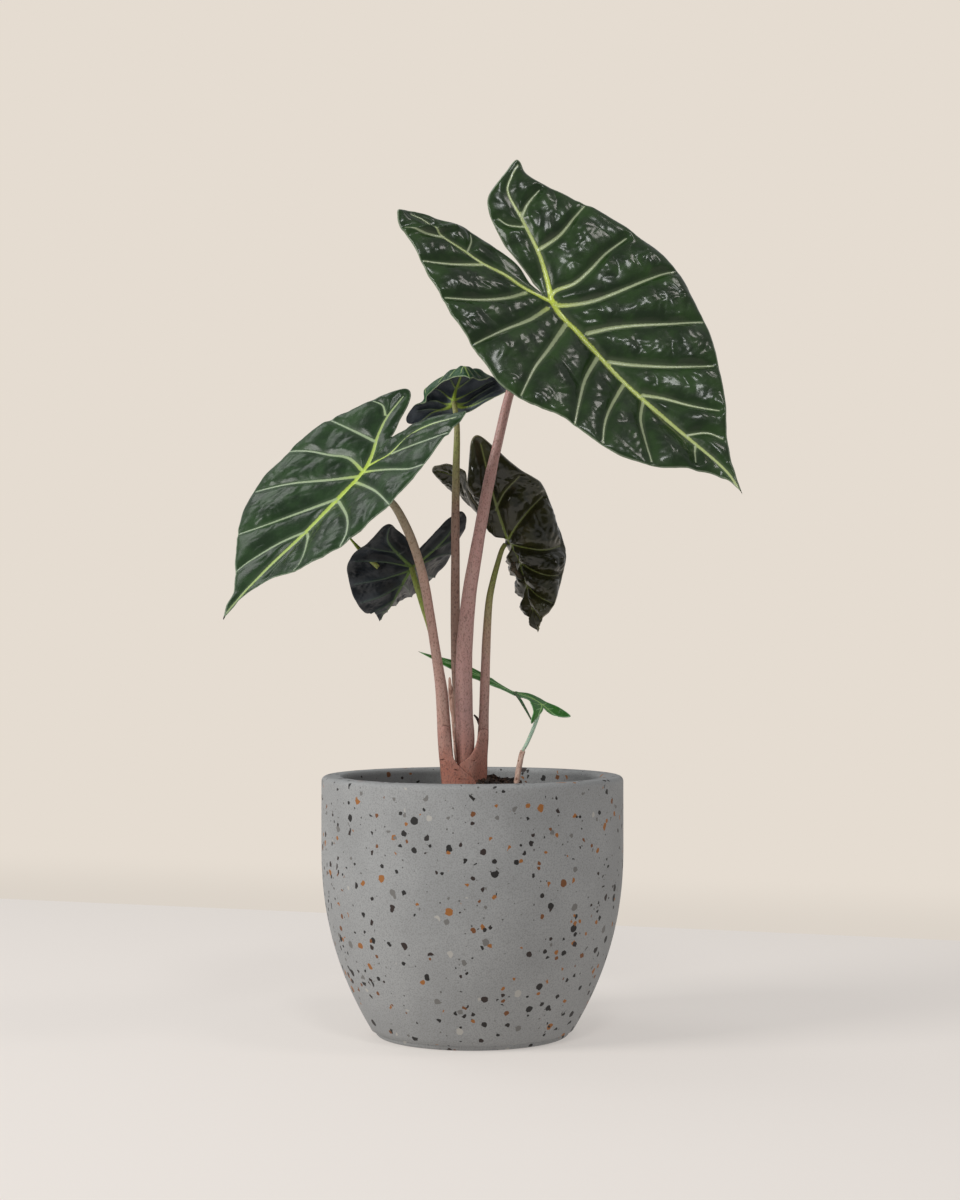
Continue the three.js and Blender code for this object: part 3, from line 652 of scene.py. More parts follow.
BIG_VEINS = [
    ([(0, 0), (11, -2), (29, -1), (65, -1), (105, 2), (145, 4), (164, 0)], 1.8, 0.5, 0.05, 0.8),
    ([(0, 0), (-13, 7), (-30, 14), (-54, 20), (-72, 24), (-79, 32), (-83, 40)], 1.4, 0.35, 0.15, 1.0),
    ([(0, 0), (-15, -9), (-28, -14), (-41, -22), (-54, -27), (-66, -32), (-80, -35), (-88, -40)],
     1.4, 0.35, 0.15, 1.0),
    ([(-3, 2), (-4, 7), (-1, 18), (-2, 30), (-5, 45), (-6, 62)], 1.19, 0.40, 0.9, 1),
    ([(2, 1), (5, 2), (13, 15), (18, 30), (25, 62), (28, 71)], 1.32, 0.45, 0.9, 1),
    ([(29, 3), (35, 16), (43, 29), (55, 46), (65, 62)], 1.25, 0.40, 0.9, 1),
    ([(51, 1), (62, 11), (77, 27), (92, 46)], 1.13, 0.40, 0.9, 1),
    ([(80, 2), (90, 10), (103, 18), (117, 28)], 1.01, 0.34, 0.85, 1),
    ([(116, 3), (123, 13), (132, 17)], 0.71, 0.29, 0.95, 1),
    ([(-54, 20), (-59, 29), (-62, 40)], 0.95, 0.34, 0.95, 1),
    ([(-31, 16), (-31, 31), (-35, 45), (-38, 56)], 1.13, 0.40, 0.85, 1),
    ([(-48, 18), (-55, 11), (-62, 9)], 0.59, 0.23, 0.95, 1),
    ([(-12, -11), (-14, -26), (-21, -44), (-31, -60)], 1.13, 0.40, 0.9, 1),
    ([(-40, -23), (-48, -40), (-58, -55)], 1.01, 0.34, 0.85, 1),
    ([(-66, -32), (-74, -42), (-82, -50)], 0.77, 0.29, 0.95, 1),
    ([(-51, -26), (-56, -18), (-61, -14)], 0.59, 0.23, 0.95, 1),
    ([(3, -6), (5, -23), (4, -42), (3, -65)], 1.25, 0.40, 0.9, 1),
    ([(17, -3), (27, -27), (34, -45), (45, -65)], 1.32, 0.40, 0.9, 1),
    ([(45, -2), (54, -21), (64, -35), (77, -51)], 1.19, 0.40, 0.9, 1),
    ([(68, -2), (77, -21), (85, -34), (96, -46)], 1.08, 0.34, 0.85, 1),
    ([(84, -1), (93, -12), (106, -21), (121, -30)], 0.90, 0.34, 0.9, 1),
    ([(125, 2), (134, -6)], 0.59, 0.29, 0.95, 1),
]
LEFT_LEFT = [
    (-28, 0), (-36, 14), (-41, 30), (-46, 45), (-47, 56), (-38, 57), (-20, 55), (4, 55), (28, 54),
    (52, 48), (71, 38), (81, 29), (88, 17), (93, 5), (104, -1), (113, -3), (120, -2), (131, 0),
]
LEFT_RIGHT = [
    (-28, 0), (-40, -2), (-52, -4), (-61, -7), (-64, -12), (-59, -19), (-48, -31), (-33, -45),
    (-14, -57), (6, -62), (28, -63), (50, -57), (72, -43), (94, -25), (110, -11), (122, -6),
    (131, 0),
]
LEFT_VEINS = [
    ([(0, 0), (8, 0), (24, -2), (54, -4), (88, -6), (120, -3), (129, 0)], 1.5, 0.4, 0.0, 0.7),
    ([(0, 0), (-12, -3), (-27, -9), (-42, -12), (-58, -11)], 1.2, 0.35, 0.1, 0.85),
    ([(0, 0), (-5, 1), (-12, 13), (-27, 19), (-35, 31), (-42, 51)], 1.2, 0.35, 0.1, 0.85),
    ([(0, -2), (-5, -16), (-3, -30), (-2, -45), (1, -60)], 1.06, 0.34, 0.85, 1.0),
    ([(5, -1), (14, -17), (25, -40), (36, -59)], 1.06, 0.34, 0.85, 1.0),
    ([(24, -2), (38, -14), (57, -30), (71, -43)], 1.06, 0.34, 0.85, 1.0),
    ([(53, -4), (67, -13), (86, -20), (97, -22)], 0.88, 0.28, 0.9, 1.0),
    ([(-22, -8), (-25, -28), (-28, -47)], 0.94, 0.34, 0.9, 1.0),
    ([(-42, -14), (-48, -20), (-49, -28)], 0.69, 0.23, 0.8, 1.0),
    ([(-13, 16), (-19, 31), (-23, 41), (-29, 54)], 0.88, 0.28, 0.9, 1.0),
    ([(1, 2), (1, 26), (1, 45), (-3, 55)], 1.00, 0.34, 0.85, 1.0),
    ([(10, 2), (19, 30), (30, 53)], 1.00, 0.34, 0.85, 1.0),
    ([(26, 0), (40, 23), (54, 37), (65, 41)], 1.00, 0.34, 0.85, 1.0),
    ([(54, -2), (69, 11), (80, 18), (86, 18)], 0.81, 0.28, 0.9, 1.0),
]
TOP_SIDE = [
    (-6, 0), (-14, 5), (-22, 13), (-27, 22), (-22, 28), (-10, 31), (4, 31), (16, 28), (27, 21),
    (36, 10), (42, 0),
]
TOP_PINS = [
    (0, 0, 0, 0, 0), (12, 0, 2, 3, 10), (24, 0, 6, -3, 21), (33, 0, 7, -11, 20),
    (42, 0, 10, -19, 13), (0, 15, 12, 8, 5), (-27, 22, 31, -2, 6), (-10, 31, 29, 8, 11),
    (4, 31, 26, 11, 15), (10, 16, 15, 7, 12), (20, 16, 16, 1, 20), (27, 21, 20, -6, 14),
    (36, 10, 15, -13, 12), (-6, 0, 1, 2, -6), (-14, 5, 8, -2, -6), (-22, 13, 18, -5, -1),
    (0, -15, -10, 6, 4), (10, -16, -11, 4, 11), (20, -16, -4, 0, 18), (27, -21, -8, -7, 11),
    (36, -10, 1, -14, 14), (16, -28, -14, -5, 6), (4, -31, -17, -7, 0), (8, -24, -18, 0, 8),
    (-10, -31, -24, -4, -2), (-27, -22, -26, -2, -13), (-14, -5, -8, 0, -8),
    (-22, -13, -15, -3, -11),
]
HANGING_LEFT = [
    (-14, 0), (-30, 2.5), (-44, 6), (-56, 14), (-63, 25), (-56, 32), (-42, 38), (-22, 43), (0, 45),
    (22, 43), (42, 35), (58, 22), (68, 9), (78, 0),
]
HANGING_RIGHT = [
    (-14, 0), (-30, -2.5), (-44, -6), (-56, -14), (-63, -25), (-56, -32), (-42, -38), (-25, -36),
    (-13, -22), (-4, -8), (2, -7), (9, -20), (18, -33), (30, -38), (42, -34), (58, -22), (68, -9),
    (78, 0),
]
HANGING_PINS = [
    (0, 0, 0, 0, 0), (26, 0, 8, -1, -17), (52, 0, 13, -8, -37), (78, 0, 17, -12, -55),
    (-63, 25, -19, -16, 64), (-44, 6, -23, -11, 35), (-42, 38, 7, -14, 44), (-22, 43, 21, -3, 36),
    (0, 45, 30, 4, 18), (22, 43, 36, 3, -3), (42, 35, 34, -6, -21), (58, 22, 28, -18, -38),
    (-22, 22, 1, -8, 28), (0, 24, 17, -9, 9), (26, 22, 25, -12, -15), (-16, 2, -11, -1, 13),
    (-63, -25, -46, 12, 45), (-46, -8, -27, 3, 43), (-42, -38, -36, 30, 34),
    (-22, -43, -23, 38, 22), (0, -45, -6, 42, 5), (22, -43, 3, 42, -13), (42, -35, 7, 27, -24),
    (58, -22, 13, 10, -39), (0, -20, -3, 19, 2),
]
LOW_SIDE = [
    (-12, 0), (-24, 5), (-35, 12), (-42, 22), (-38, 29), (-26, 34), (-8, 38), (12, 38), (30, 33),
    (46, 22), (56, 9), (66, 0),
]
LOW_PINS = [
    (0, 0, 0, 0, 0), (22, 0, -8, 14, -13), (46, 0, -16, 30, -25), (66, 0, -22, 46, -33),
    (-42, 22, -12, -32, 24), (-35, 12, -8, -23, 21), (-24, 5, -2, -14, 16), (-26, 34, -26, -30, 12),
    (-8, 38, -37, -18, 3), (12, 38, -38, -2, -8), (30, 33, -35, 11, -19), (46, 22, -29, 22, -28),
    (56, 9, -24, 34, -28), (0, 20, -19, -7, 0), (22, 18, -21, 4, -15), (-42, -22, 29, -4, 33),
    (-24, -5, 13, -9, 18), (-26, -34, 32, 13, 22), (-8, -38, 25, 25, 9), (12, -38, 18, 37, -2),
    (30, -33, 3, 43, -15), (46, -22, -10, 48, -22), (56, -9, -17, 47, -26), (0, -20, 13, 15, 4),
]
SEEDLING_SIDE = [
    (-5, 0), (-13, 3), (-20, 7), (-22, 11), (-16, 13), (-6, 12), (8, 9), (24, 6.5), (42, 6),
    (60, 4.5), (71, 2), (78, 0),
]

SEEDLING_PINS = [
    (0, 0, 0, 0, 0), (18, 0, -16.9, 1.8, 7.3), (34, 0, -29.8, 3.5, 13.6), (50, 0, -45.1, 5.1, 20.5),
    (66, 0, -61, 6.8, 26.7), (78, 0, -74.4, 8, 32), (8, 9, -10.3, -7.2, 4.3),
    (18, 7, -16.4, -4.7, 6.1), (34, 6.2, -29.8, -2.5, 11.5), (50, 5.4, -45.7, 0.1, 17.3),
    (66, 3.2, -61.6, 4.3, 24.7), (-6, 12, -6.1, -12, 0.6), (-16, 13, -4.8, -19, -4.8),
    (-22, 11, -6.1, -21, -10.9), (-20, 7, -3.6, -18, -9.2), (-13, 3, 0, -10, -5.6),
    (8, -9, -6.7, 8.8, 6.1), (18, -7, -16.9, 8.8, 7.8), (34, -6.2, -29.8, 9.5, 15.8),
    (50, -5.4, -45.1, 10.1, 23.7), (66, -3.2, -61, 9.3, 28.7), (-6, -12, 4.2, 12, 0.6),
    (-16, -13, 11.5, 17, -2.4), (-22, -11, 18.8, 14, -7.8), (-20, -7, 12.7, 12, -8.4),
    (-13, -3, 6.1, 8, -6.1),
]


def build_blades():
    slate = blade_under("slate_leaf_underside", "#373e46", "#525b64", "#93ab3a", "#5d6a68", 0.5)
    charcoal = blade_under("charcoal_leaf_underside", "#161b20", "#252c33", "#64803a", "#3f4d4a", 0.42)
    plum = blade_under("plum_leaf_underside", "#2a2428", "#3b3438", "#a8c24a", "#7d8a6a", 0.5)
    green_top = blade_top(
        "dark_green_leaf_cuticle",
        "#102309", "#223c12", "#9aa686", "#bfd046", "#86947c", 0.36, 0.6, 0.17)
    teal_top = blade_top(
        "blue_green_leaf_cuticle",
        "#162a14", "#274220", "#95a68a", "#b4cc50", "#97a890", 0.38, 0.35, 0.2)
    olive_top = blade_top(
        "olive_black_leaf_cuticle",
        "#1b1c0d", "#333318", "#5c6038", "#7f9438", "#8a8468", 0.45, 0.9, 0.12)
    young_top = blade_top(
        "young_green_leaf_cuticle",
        "#2a6326", "#43812f", "#8fc08a", "#a9d070", "#9cc79a", 0.42, 0.1)
    slate_top = blade_top(
        "deep_green_leaf_cuticle",
        "#12301a", "#24502a", "#8ba468", "#a4c23a", "#a0b08f", 0.34, 0.1)
    young_under = blade_under("young_leaf_underside", "#33663f", "#4d8258", "#a9d070", "#a4cfa0", 0.5)

    blade("big_leaf", (BIG_LEFT, BIG_RIGHT), spread(
        junction=(46.5, -30, 433.4), tip=(0.621, -0.24, -0.746), face=(0.187, -0.879, 0.438),
        half_width=74, front=162, back=100, fold=14, curl=-14, droop=-14, lift=6,
    ), BIG_VEINS, [green_top, plum], "blade_green", swell=3.2, pucker=0.8, ruffle=1.6,
        creases=(((-68, -22), (-80, -50), 2.2, 2.0),), seed=1.0)
    blade("left_leaf", (LEFT_LEFT, LEFT_RIGHT), spread(
        junction=(-63.6, -25, 334.3), tip=(-0.546, -0.414, -0.728), face=(-0.437, -0.601, 0.669),
        half_width=60, front=125, back=60, fold=14, curl=-14, droop=-12, lift=6,
    ), LEFT_VEINS, [teal_top, plum], "blade_teal", swell=2.2, pucker=0.75, ruffle=1.2, seed=2.0)
    blade("top_leaf", (TOP_SIDE, mirrored(TOP_SIDE)), pinned((-11.3, 12, 378.1), TOP_PINS),
          plain_veins(42, 27, 31, 0.0), [slate_top, slate], "blade_slate",
          swell=1.3, pucker=0.4, ruffle=0.6, step=0.7, seed=3.0, ribs=5)
    blade("hanging_leaf", (HANGING_LEFT, HANGING_RIGHT), pinned((20.9, 22, 294), HANGING_PINS),
          plain_veins(78, 63, 45, 0.4), [olive_top, plum], "blade_olive",
          swell=4.8, pucker=1.5, ruffle=1.5, step=0.8, seed=4.0, ribs=5, crinkle=0.6)
    blade("low_leaf", (LOW_SIDE, mirrored(LOW_SIDE)), pinned((-37.7, 26, 280.1), LOW_PINS),
          plain_veins(66, 42, 38, 0.1), [slate_top, charcoal], "blade_slate",
          swell=2.2, pucker=0.9, ruffle=0.9, step=0.8, seed=5.0, ribs=4, crinkle=0.5)
    blade("seedling_leaf", (SEEDLING_SIDE, mirrored(SEEDLING_SIDE)),
          pinned((41.3, 14, 196.1), SEEDLING_PINS), plain_veins(78, 22, 11, 0.5, 0.6),
          [young_top, young_under], "blade_young",
          swell=0.6, pucker=0.15, ruffle=0.7, step=0.6, seed=6.0, ribs=4)
    # The last colour is the painted crease shade along the sheet's edges
    rolled = petiole_skin(
        "dark_green_rolled_margin", "#2f5636", "#3c6a42", "#20402a", 185, 200, 0.5, "#2c4a2e")
    sheet("seedling_lobe_edge", [
        [(24.6, 9, 203), (28.4, 6, 197.6), (34.6, -3, 187.3)],
        [(25.2, 8.6, 203.4), (29.2, 5.6, 198), (35.3, -3.4, 186.7)],
        [(26, 9, 203.6), (30, 6, 198.3), (35.7, -3, 187)],
    ], rolled, "blade_young", thickness=0.5, fray=0.1, seed=16.0)


# ---- Petioles --------------------------------------------------------------------------------
# Stations run from the crown to the underside of the blade: x, y, z, half width, half depth.

PETIOLES = {
    "big_petiole": [
        (-4.4, -3, 147, 4.4, 4), (-4.4, -3, 165, 5.2, 4.3), (-4.7, -3.5, 178, 5.8, 4.3),
        (-5.2, -4.5, 199, 5.2, 4.3), (-4.9, -5.5, 229, 4.9, 4.4), (-2.2, -6.5, 260, 4.3, 4.1),
        (1.6, -7, 284, 3.9, 3.9), (4.6, -7, 301, 3.6, 3.6), (9.6, -6, 328, 3.4, 3.4),
        (14.3, -3, 349, 2.9, 2.9), (22.4, 3, 383, 2.8, 2.8), (31, 4, 405, 2.7, 2.7),
        (39, -3, 419, 2.5, 2.5), (44.5, -19, 427.5, 2.3, 2.3), (46.2, -28.6, 432.7, 2.2, 2.2),
    ],
    "left_petiole": [
        (-14, -2, 147, 4.2, 3.8), (-14.6, -3, 156, 4.5, 3.8), (-16, -4, 168, 4.3, 3.8),
        (-17.2, -5, 186, 4, 3.8), (-18.4, -5.5, 204, 3.6, 3.5), (-21.6, -6.2, 226, 2.9, 2.9),
        (-25.5, -7, 251, 2.8, 2.8), (-28.3, -8, 267, 2.8, 2.8), (-32, -9, 282, 2.6, 2.6),
        (-37.2, -10, 297, 2.7, 2.7), (-45.3, -11, 313, 2.4, 2.4), (-53, -13, 321, 2.2, 2.2),
        (-59.8, -19.5, 329, 2, 2), (-63, -24.2, 333.3, 1.9, 1.9),
    ],
    "top_petiole": [
        (-4.6, 6, 147, 2.9, 2.9), (-6.8, 6.5, 174, 2.9, 2.9), (-8.8, 7, 200, 2.9, 2.9),
        (-10.1, 7.5, 228, 2.9, 2.9), (-10.4, 8, 261, 2.8, 2.8), (-10.3, 8.5, 285, 2.6, 2.6),
        (-10.3, 8, 308, 2.5, 2.5), (-9.9, 7, 336, 2.2, 2.2), (-9.3, 5, 360, 1.8, 1.8),
        (-10, 4.3, 370, 1.6, 1.6), (-11, 6.8, 376.5, 1.5, 1.5), (-11.2, 10.6, 378, 1.3, 1.3),
    ],
    "hanging_petiole": [
        (4.6, 1, 147, 3.8, 3.6), (5, 1, 156, 3.9, 3.6), (5.4, 1, 166, 3.7, 3.5),
        (6.3, 2, 176, 3.4, 3.3), (6.9, 3, 192, 3, 3), (7.5, 4, 210, 2.8, 2.8),
        (8.4, 6, 235, 2.6, 2.6), (9.9, 10, 257, 2.2, 2.2), (12.3, 15, 270, 1.9, 1.9),
        (15.6, 18.6, 282.5, 1.6, 1.6), (17.8, 20, 289.5, 1.5, 1.5), (19.8, 21.2, 292.9, 1.4, 1.4),
    ],
    "low_petiole": [
        (-12.6, 6.5, 147, 2.6, 2.6), (-15, 7.5, 175, 2.4, 2.4), (-18.8, 9.5, 203, 2.2, 2.2),
        (-22.8, 12, 229, 2, 2), (-25.6, 13, 242, 1.9, 1.9), (-29.4, 14, 254, 1.9, 1.9),
        (-33, 17, 265, 1.8, 1.8), (-36, 22, 274.5, 1.7, 1.7), (-37.2, 25.2, 278.9, 1.6, 1.6),
    ],
    "seedling_petiole": [
        (26.2, 0, 147, 0.9, 0.9), (28.1, 2, 159.7, 0.9, 0.9), (29.9, 4, 167.6, 1, 1),
        (33, 6, 173.4, 1.1, 1.1), (36.9, 8.5, 182.2, 1.1, 1.1), (39.7, 11.5, 189.5, 1, 1),
        (40.8, 13.6, 194.6, 1, 1),
    ],
}


def petiole(name, look, slot, groove=0.0, seed=1.0):
    """A fleshy stem of soft oval section, faintly ribbed along its length, with a groove behind."""
    sides = 40
    stations = PETIOLES[name]
    x, y, _, *foot = stations[0]
    route = smooth_line([(x, y, PETIOLE_FOOT, *foot), *stations], 1.2)
    centres = route[:, :3]
    along = np.gradient(centres, axis=0)
    along /= np.linalg.norm(along, axis=1)[:, None]
    wide = np.array([1.0, 0, 0]) - along * along[:, :1]
    wide /= np.linalg.norm(wide, axis=1)[:, None]
    deep = np.cross(along, wide)
    angles = np.linspace(0, 2 * math.pi, sides, endpoint=False)
    heights = centres[:, 2]
    fade = 1 - eased(heights, heights.min() + 20, heights.min() + 110)
    points = []
    for angle in angles:
        behind = math.exp(-((angle - math.pi / 2) / 0.45) ** 2)
        ribbed = 1 + 0.018 * math.sin(angle * 7 + seed) - groove * behind * fade
        spot = np.column_stack([np.full(len(heights), 3 * math.cos(angle) + seed * 9),
                                np.full(len(heights), 3 * math.sin(angle)), heights])
        uneven = ribbed + 0.05 * noise_at(spot, 16, seed)
        points.append(
            centres
            + wide * (route[:, 3] * uneven * math.cos(angle))[:, None]
            + deep * (route[:, 4] * uneven * math.sin(angle))[:, None])
    rings = np.stack(points, axis=1).reshape(-1, 3)
    piece = make_mesh(name, rings, tube_faces(len(route), sides), [look])
    return finish_piece(piece, slot, name)


def sheet(name, lines, look, slot, nodes=(), thickness=0.5, fray=0.0, seed=1.0):
    """A thin skin lofted across lines of points, closed all round and thinned to its edges."""
    spacing = 0.6
    length = max(np.linalg.norm(np.diff(np.array(line, float), axis=0), axis=1).sum() for line in lines)
    count = max(12, round(length / spacing))
    fine = [smooth_line(line, length / count * 0.999) for line in lines]
    fine = [line[np.round(np.linspace(0, len(line) - 1, count)).astype(int)] for line in fine]
    across = [smooth_line([line[i] for line in fine], spacing) for i in range(count)]
    columns = max(len(row) for row in across)
    share = np.linspace(0, 1, columns)
    grid = np.array([
        np.column_stack([np.interp(share, np.linspace(0, 1, len(row)), row[:, k]) for k in range(3)])
        for row in across])
    normal = np.cross(np.gradient(grid, axis=0), np.gradient(grid, axis=1))
    normal /= np.maximum(np.linalg.norm(normal, axis=2), 1e-9)[..., None]
    uneven = noise_at(grid.reshape(-1, 3), 3.5, seed).reshape(grid.shape[:2])
    grid = grid + normal * (fray * uneven)[..., None]
    to_side = np.minimum(share, 1 - share)[None] * columns * spacing
    to_foot = np.arange(count)[:, None] * spacing
    to_top = to_foot[::-1]
    taper = 1 - np.exp(-np.minimum(to_side, np.minimum(to_foot, to_top)))
    half = thickness / 2 * (0.25 + 0.75 * taper)
    front = (grid + normal * half[..., None]).reshape(-1, 3)
    back = (grid - normal * half[..., None]).reshape(-1, 3)
    faces = []
    turn = count * columns
    for i in range(count - 1):
        for j in range(columns - 1):
            a = i * columns + j
            b = a + 1
            c = b + columns
            d = a + columns
            faces.append((a, d, c, b))
            faces.append((turn + a, turn + b, turn + c, turn + d))
    ring = (
        [(0, j) for j in range(columns - 1)] + [(i, columns - 1) for i in range(count - 1)]
        + [(count - 1, j) for j in range(columns - 1, 0, -1)] + [(i, 0) for i in range(count - 1, 0, -1)])
    for (i, j), (k, m) in zip(ring, ring[1:] + ring[:1]):
        a = i * columns + j
        b = k * columns + m
        faces.append((a, b, turn + b, turn + a))
    # The margin mark rises towards the sides and the top end, where the skin paints crease shade
    inward = np.minimum(to_side, to_top)
    marks = {"margin": np.tile(np.exp(-inward / 0.5).ravel(), 2)}
    piece = make_mesh(name, np.vstack([front, back]), faces, [look], marks=marks)
    return finish_piece(piece, slot, *nodes)


def build_petioles():
    pink = petiole_skin("dusty_pink_petiole_skin", "#b8908a", "#a39c6c", "#644a44", 378, 425)
    rosy = petiole_skin("rosy_petiole_skin", "#bd978b", "#aaa084", "#6a4f46", 250, 320)
    brown = petiole_skin("brown_pink_petiole_skin", "#97796c", "#8f9458", "#4a3831", 300, 350)
    mauve = petiole_skin("mauve_petiole_skin", "#b89288", "#8d9450", "#5c463e", 215, 275)
    lime = petiole_skin("lime_petiole_skin", "#a0906c", "#93a64c", "#6a5a44", 190, 240)
    mint = petiole_skin("mint_petiole_skin", "#dbe6da", "#c3e2ca", "#a5c0aa", 150, 170)
    petiole("big_petiole", pink, "petiole_pink", 0.25, 1.0)
    petiole("left_petiole", rosy, "petiole_pink", 0.2, 2.0)
    petiole("top_petiole", brown, "petiole_brown", 0.15, 3.0)
    petiole("hanging_petiole", mauve, "petiole_brown", 0.15, 4.0)
    petiole("low_petiole", lime, "petiole_green", 0.15, 5.0)
    petiole("seedling_petiole", mint, "seedling_green", 0.0, 6.0)

    # The leaf bases keep the default margin colour as painted crease shade along their edges
    sheath = petiole_skin("leaf_base_sheath", "#ba9086", "#ba9086", "#664a43", 200, 220, 0.6)
    sheet("right_leaf_base", [
        [(8.2, -1.5, 144), (8.8, -1.6, 156), (9, -1.4, 168), (9.4, -0.6, 181)],
        [(5, -4.4, 144), (5.4, -4.6, 156), (6, -3.6, 168), (7, -1.8, 182)],
        [(-1, -8, 144), (0, -8.6, 156), (2, -7.8, 166), (4.4, -3.6, 181)],
        [(-9, -8.6, 144), (-9, -8.8, 154), (-7.8, -9, 161), (-1.2, -8.8, 166.5), (2.4, -5.6, 173.5),
         (3.6, -2.6, 180)],
    ], sheath, "petiole_pink", thickness=0.6, fray=0.1, seed=11.0)
    sheet("left_leaf_base", [
        [(-17.8, -5, 144), (-18.6, -5.2, 156), (-19.6, -5.8, 166), (-20.4, -6.2, 174),
         (-20.6, -6.4, 183)],
        [(-13.5, -7.2, 144), (-15, -7.6, 156), (-16.5, -8.2, 166), (-17.2, -8.8, 175),
         (-17.6, -9, 184)],
        [(-5, -9.4, 144), (-9, -9.4, 155), (-13, -9, 164), (-14.8, -8.9, 174), (-15.4, -8.6, 184)],
        [(7, -7, 144), (1, -9.4, 152.4), (-5.4, -9.8, 157.8), (-10.8, -9.4, 164), (-12.6, -8.4, 173),
         (-13.6, -7.2, 183)],
    ], sheath, "petiole_pink", thickness=0.6, fray=0.1, seed=12.0)

    # The last colour is the painted crease shade along the sheet's edges
    folded = petiole_skin("lime_folded_margin", "#8ba33c", "#8ba33c", "#45541f", 250, 260, 0.5, "#2b3226")
    sheet("low_leaf_fold", [
        [(-75.5, 15, 298.6), (-69, 12.6, 292), (-62, 13, 285.6), (-56, 17, 279.6)],
        [(-75, 14, 297), (-69.6, 11.4, 290.8), (-63, 11.6, 284.2), (-57, 15.4, 278.6)],
        [(-74.2, 13.6, 295.4), (-69.4, 12, 289.2), (-63.6, 12, 282.8), (-57.8, 16, 277.4)],
    ], folded, "blade_slate", thickness=0.5, fray=0.2, seed=17.0)
    # The last colour is the painted crease shade along the sheet's edges
    ragged = petiole_skin(
        "dark_curled_fragment", "#2a2c18", "#35371f", "#191a0e", 250, 300, 0.4, "#1c1d12")
    sheet("hanging_leaf_curl", [
        [(23.4, 18.6, 282), (22.8, 16.6, 277.6), (26.2, 17.4, 273.6), (29.6, 21, 270.4)],
        [(24.8, 18, 281.4), (24.6, 15.4, 277.4), (27.4, 16.4, 274.2), (31, 20, 271.4)],
        [(26.2, 18.6, 281.6), (26.6, 16.4, 278.6), (28.6, 17.4, 275.6), (32, 20.6, 273)],
    ], ragged, "blade_olive", thickness=0.5, fray=0.7, seed=18.0)

    paper = papery_sheath("dry_papery_sheath", "#c9a493", "#a98072", "#7a564a")
    charred = papery_sheath("dark_dry_sheath", "#463631", "#332823", "#1f1815")
    straw = papery_sheath("straw_seedling_sheath", "#dfc3b2", "#c9a494", "#8c6452")
    sheet("dry_sheath", [
        [(-10.4, -7.2, 162), (-11.4, -8.2, 174), (-12.2, -8.9, 186), (-13.6, -9.4, 197),
         (-14.3, -9.7, 204),
         (-14, -9.8, 212)],
        [(-9.8, -7.6, 162), (-10.7, -8.7, 174), (-11.5, -9.4, 186), (-12.5, -10.2, 197),
         (-12.9, -10.6, 204),
         (-13.4, -10.2, 213)],
        [(-9.2, -7.2, 162), (-10, -8.2, 174), (-10.6, -8.9, 186), (-11, -9.5, 197), (-11.4, -9.8, 204),
         (-12.9, -9.9, 211)],
    ], paper, "dry_sheath", ("dry_sheath",), thickness=0.4, fray=0.35, seed=13.0)
    sheet("old_sheath_tip", [
        [(0.6, 3.4, 189.6), (2.4, 2.8, 186.8), (3.4, 2, 184)],
        [(0.9, 3.2, 190), (2.7, 2.6, 187.8), (4, 2, 185)],
        [(1.2, 3.4, 190.2), (3.2, 2.8, 188.6), (4.6, 2.4, 186)],
    ], charred, "dark_sheath", ("old_sheath_tip",), thickness=0.5, fray=0.15, seed=14.0)
    sheet("seedling_sheath", [
        [(28.0, -0.6, 149), (29.0, 0.5, 156), (30.4, 1.9, 163), (31.8, 3.3, 170.5)],
        [(26.7, -1.4, 149), (27.7, -0.3, 156), (29.1, 1.1, 163), (30.5, 2.5, 168)],
        [(25.2, -0.8, 149), (26.2, 0.3, 156), (27.6, 1.7, 163), (29.0, 3.1, 169)],
        [(24.9, 0.9, 149), (25.9, 2.0, 156), (27.3, 3.4, 163), (28.7, 4.8, 167)],
        [(26.3, 2.0, 149), (27.3, 3.1, 156), (28.7, 4.5, 163), (30.1, 5.9, 166)],
        [(28.0, 1.1, 149), (29.0, 2.2, 156), (30.4, 3.6, 163), (31.8, 5.0, 168)],
    ], straw, "dry_sheath", ("seedling_sheath",), thickness=0.4, fray=0.25, seed=15.0)


# ---- Planter and soil ------------------------------------------------------------------------

def pot_radius(z):
    share = max(0.0, 1 - z / POT_BAND_BASE)
    return POT_RIM_RADIUS - (POT_RIM_RADIUS - POT_FOOT_RADIUS) * share ** POT_BELLY_POWER


def corner(radius, height, start, end, size=POT_EDGE, steps=7):
    """Points of a rounded corner about (radius, height), from start to end degrees."""
    angles = [math.radians(start + (end - start) * i / steps) for i in range(steps + 1)]
    return [(radius + size * math.cos(a), height + size * math.sin(a)) for a in angles]


def turned(name, profile, look, sides=256):
    """A closed body: a profile of (radius, height) turned about the planter's axis."""
    angles = np.linspace(0, 2 * math.pi, sides, endpoint=False)
    points = [(r * math.cos(a), r * math.sin(a), z) for r, z in profile for a in angles]
    return make_mesh(name, points, tube_faces(len(profile), sides), [look])


def build_pot():
    outer = [(pot_radius(z), z) for z in np.linspace(4, POT_HEIGHT - POT_EDGE - 1, 48)]
    inner_top = POT_RIM_RADIUS - POT_WALL
    profile = (
        [(20, 0), (POT_FOOT_RADIUS - POT_EDGE - 1, 0)]
        + corner(POT_FOOT_RADIUS - POT_EDGE, POT_EDGE, -90, 0)
        + outer
        + corner(POT_RIM_RADIUS - POT_EDGE, POT_HEIGHT - POT_EDGE, 0, 90)
        + corner(inner_top + POT_EDGE, POT_HEIGHT - POT_EDGE, 90, 180)
        + [(pot_radius(z) - POT_WALL, z) for z in np.linspace(POT_HEIGHT - POT_EDGE - 1, POT_FLOOR, 30)]
        + [(20, POT_FLOOR)])
    piece = turned("pot", profile, terrazzo())
    finish_piece(piece, "terrazzo", "pot")


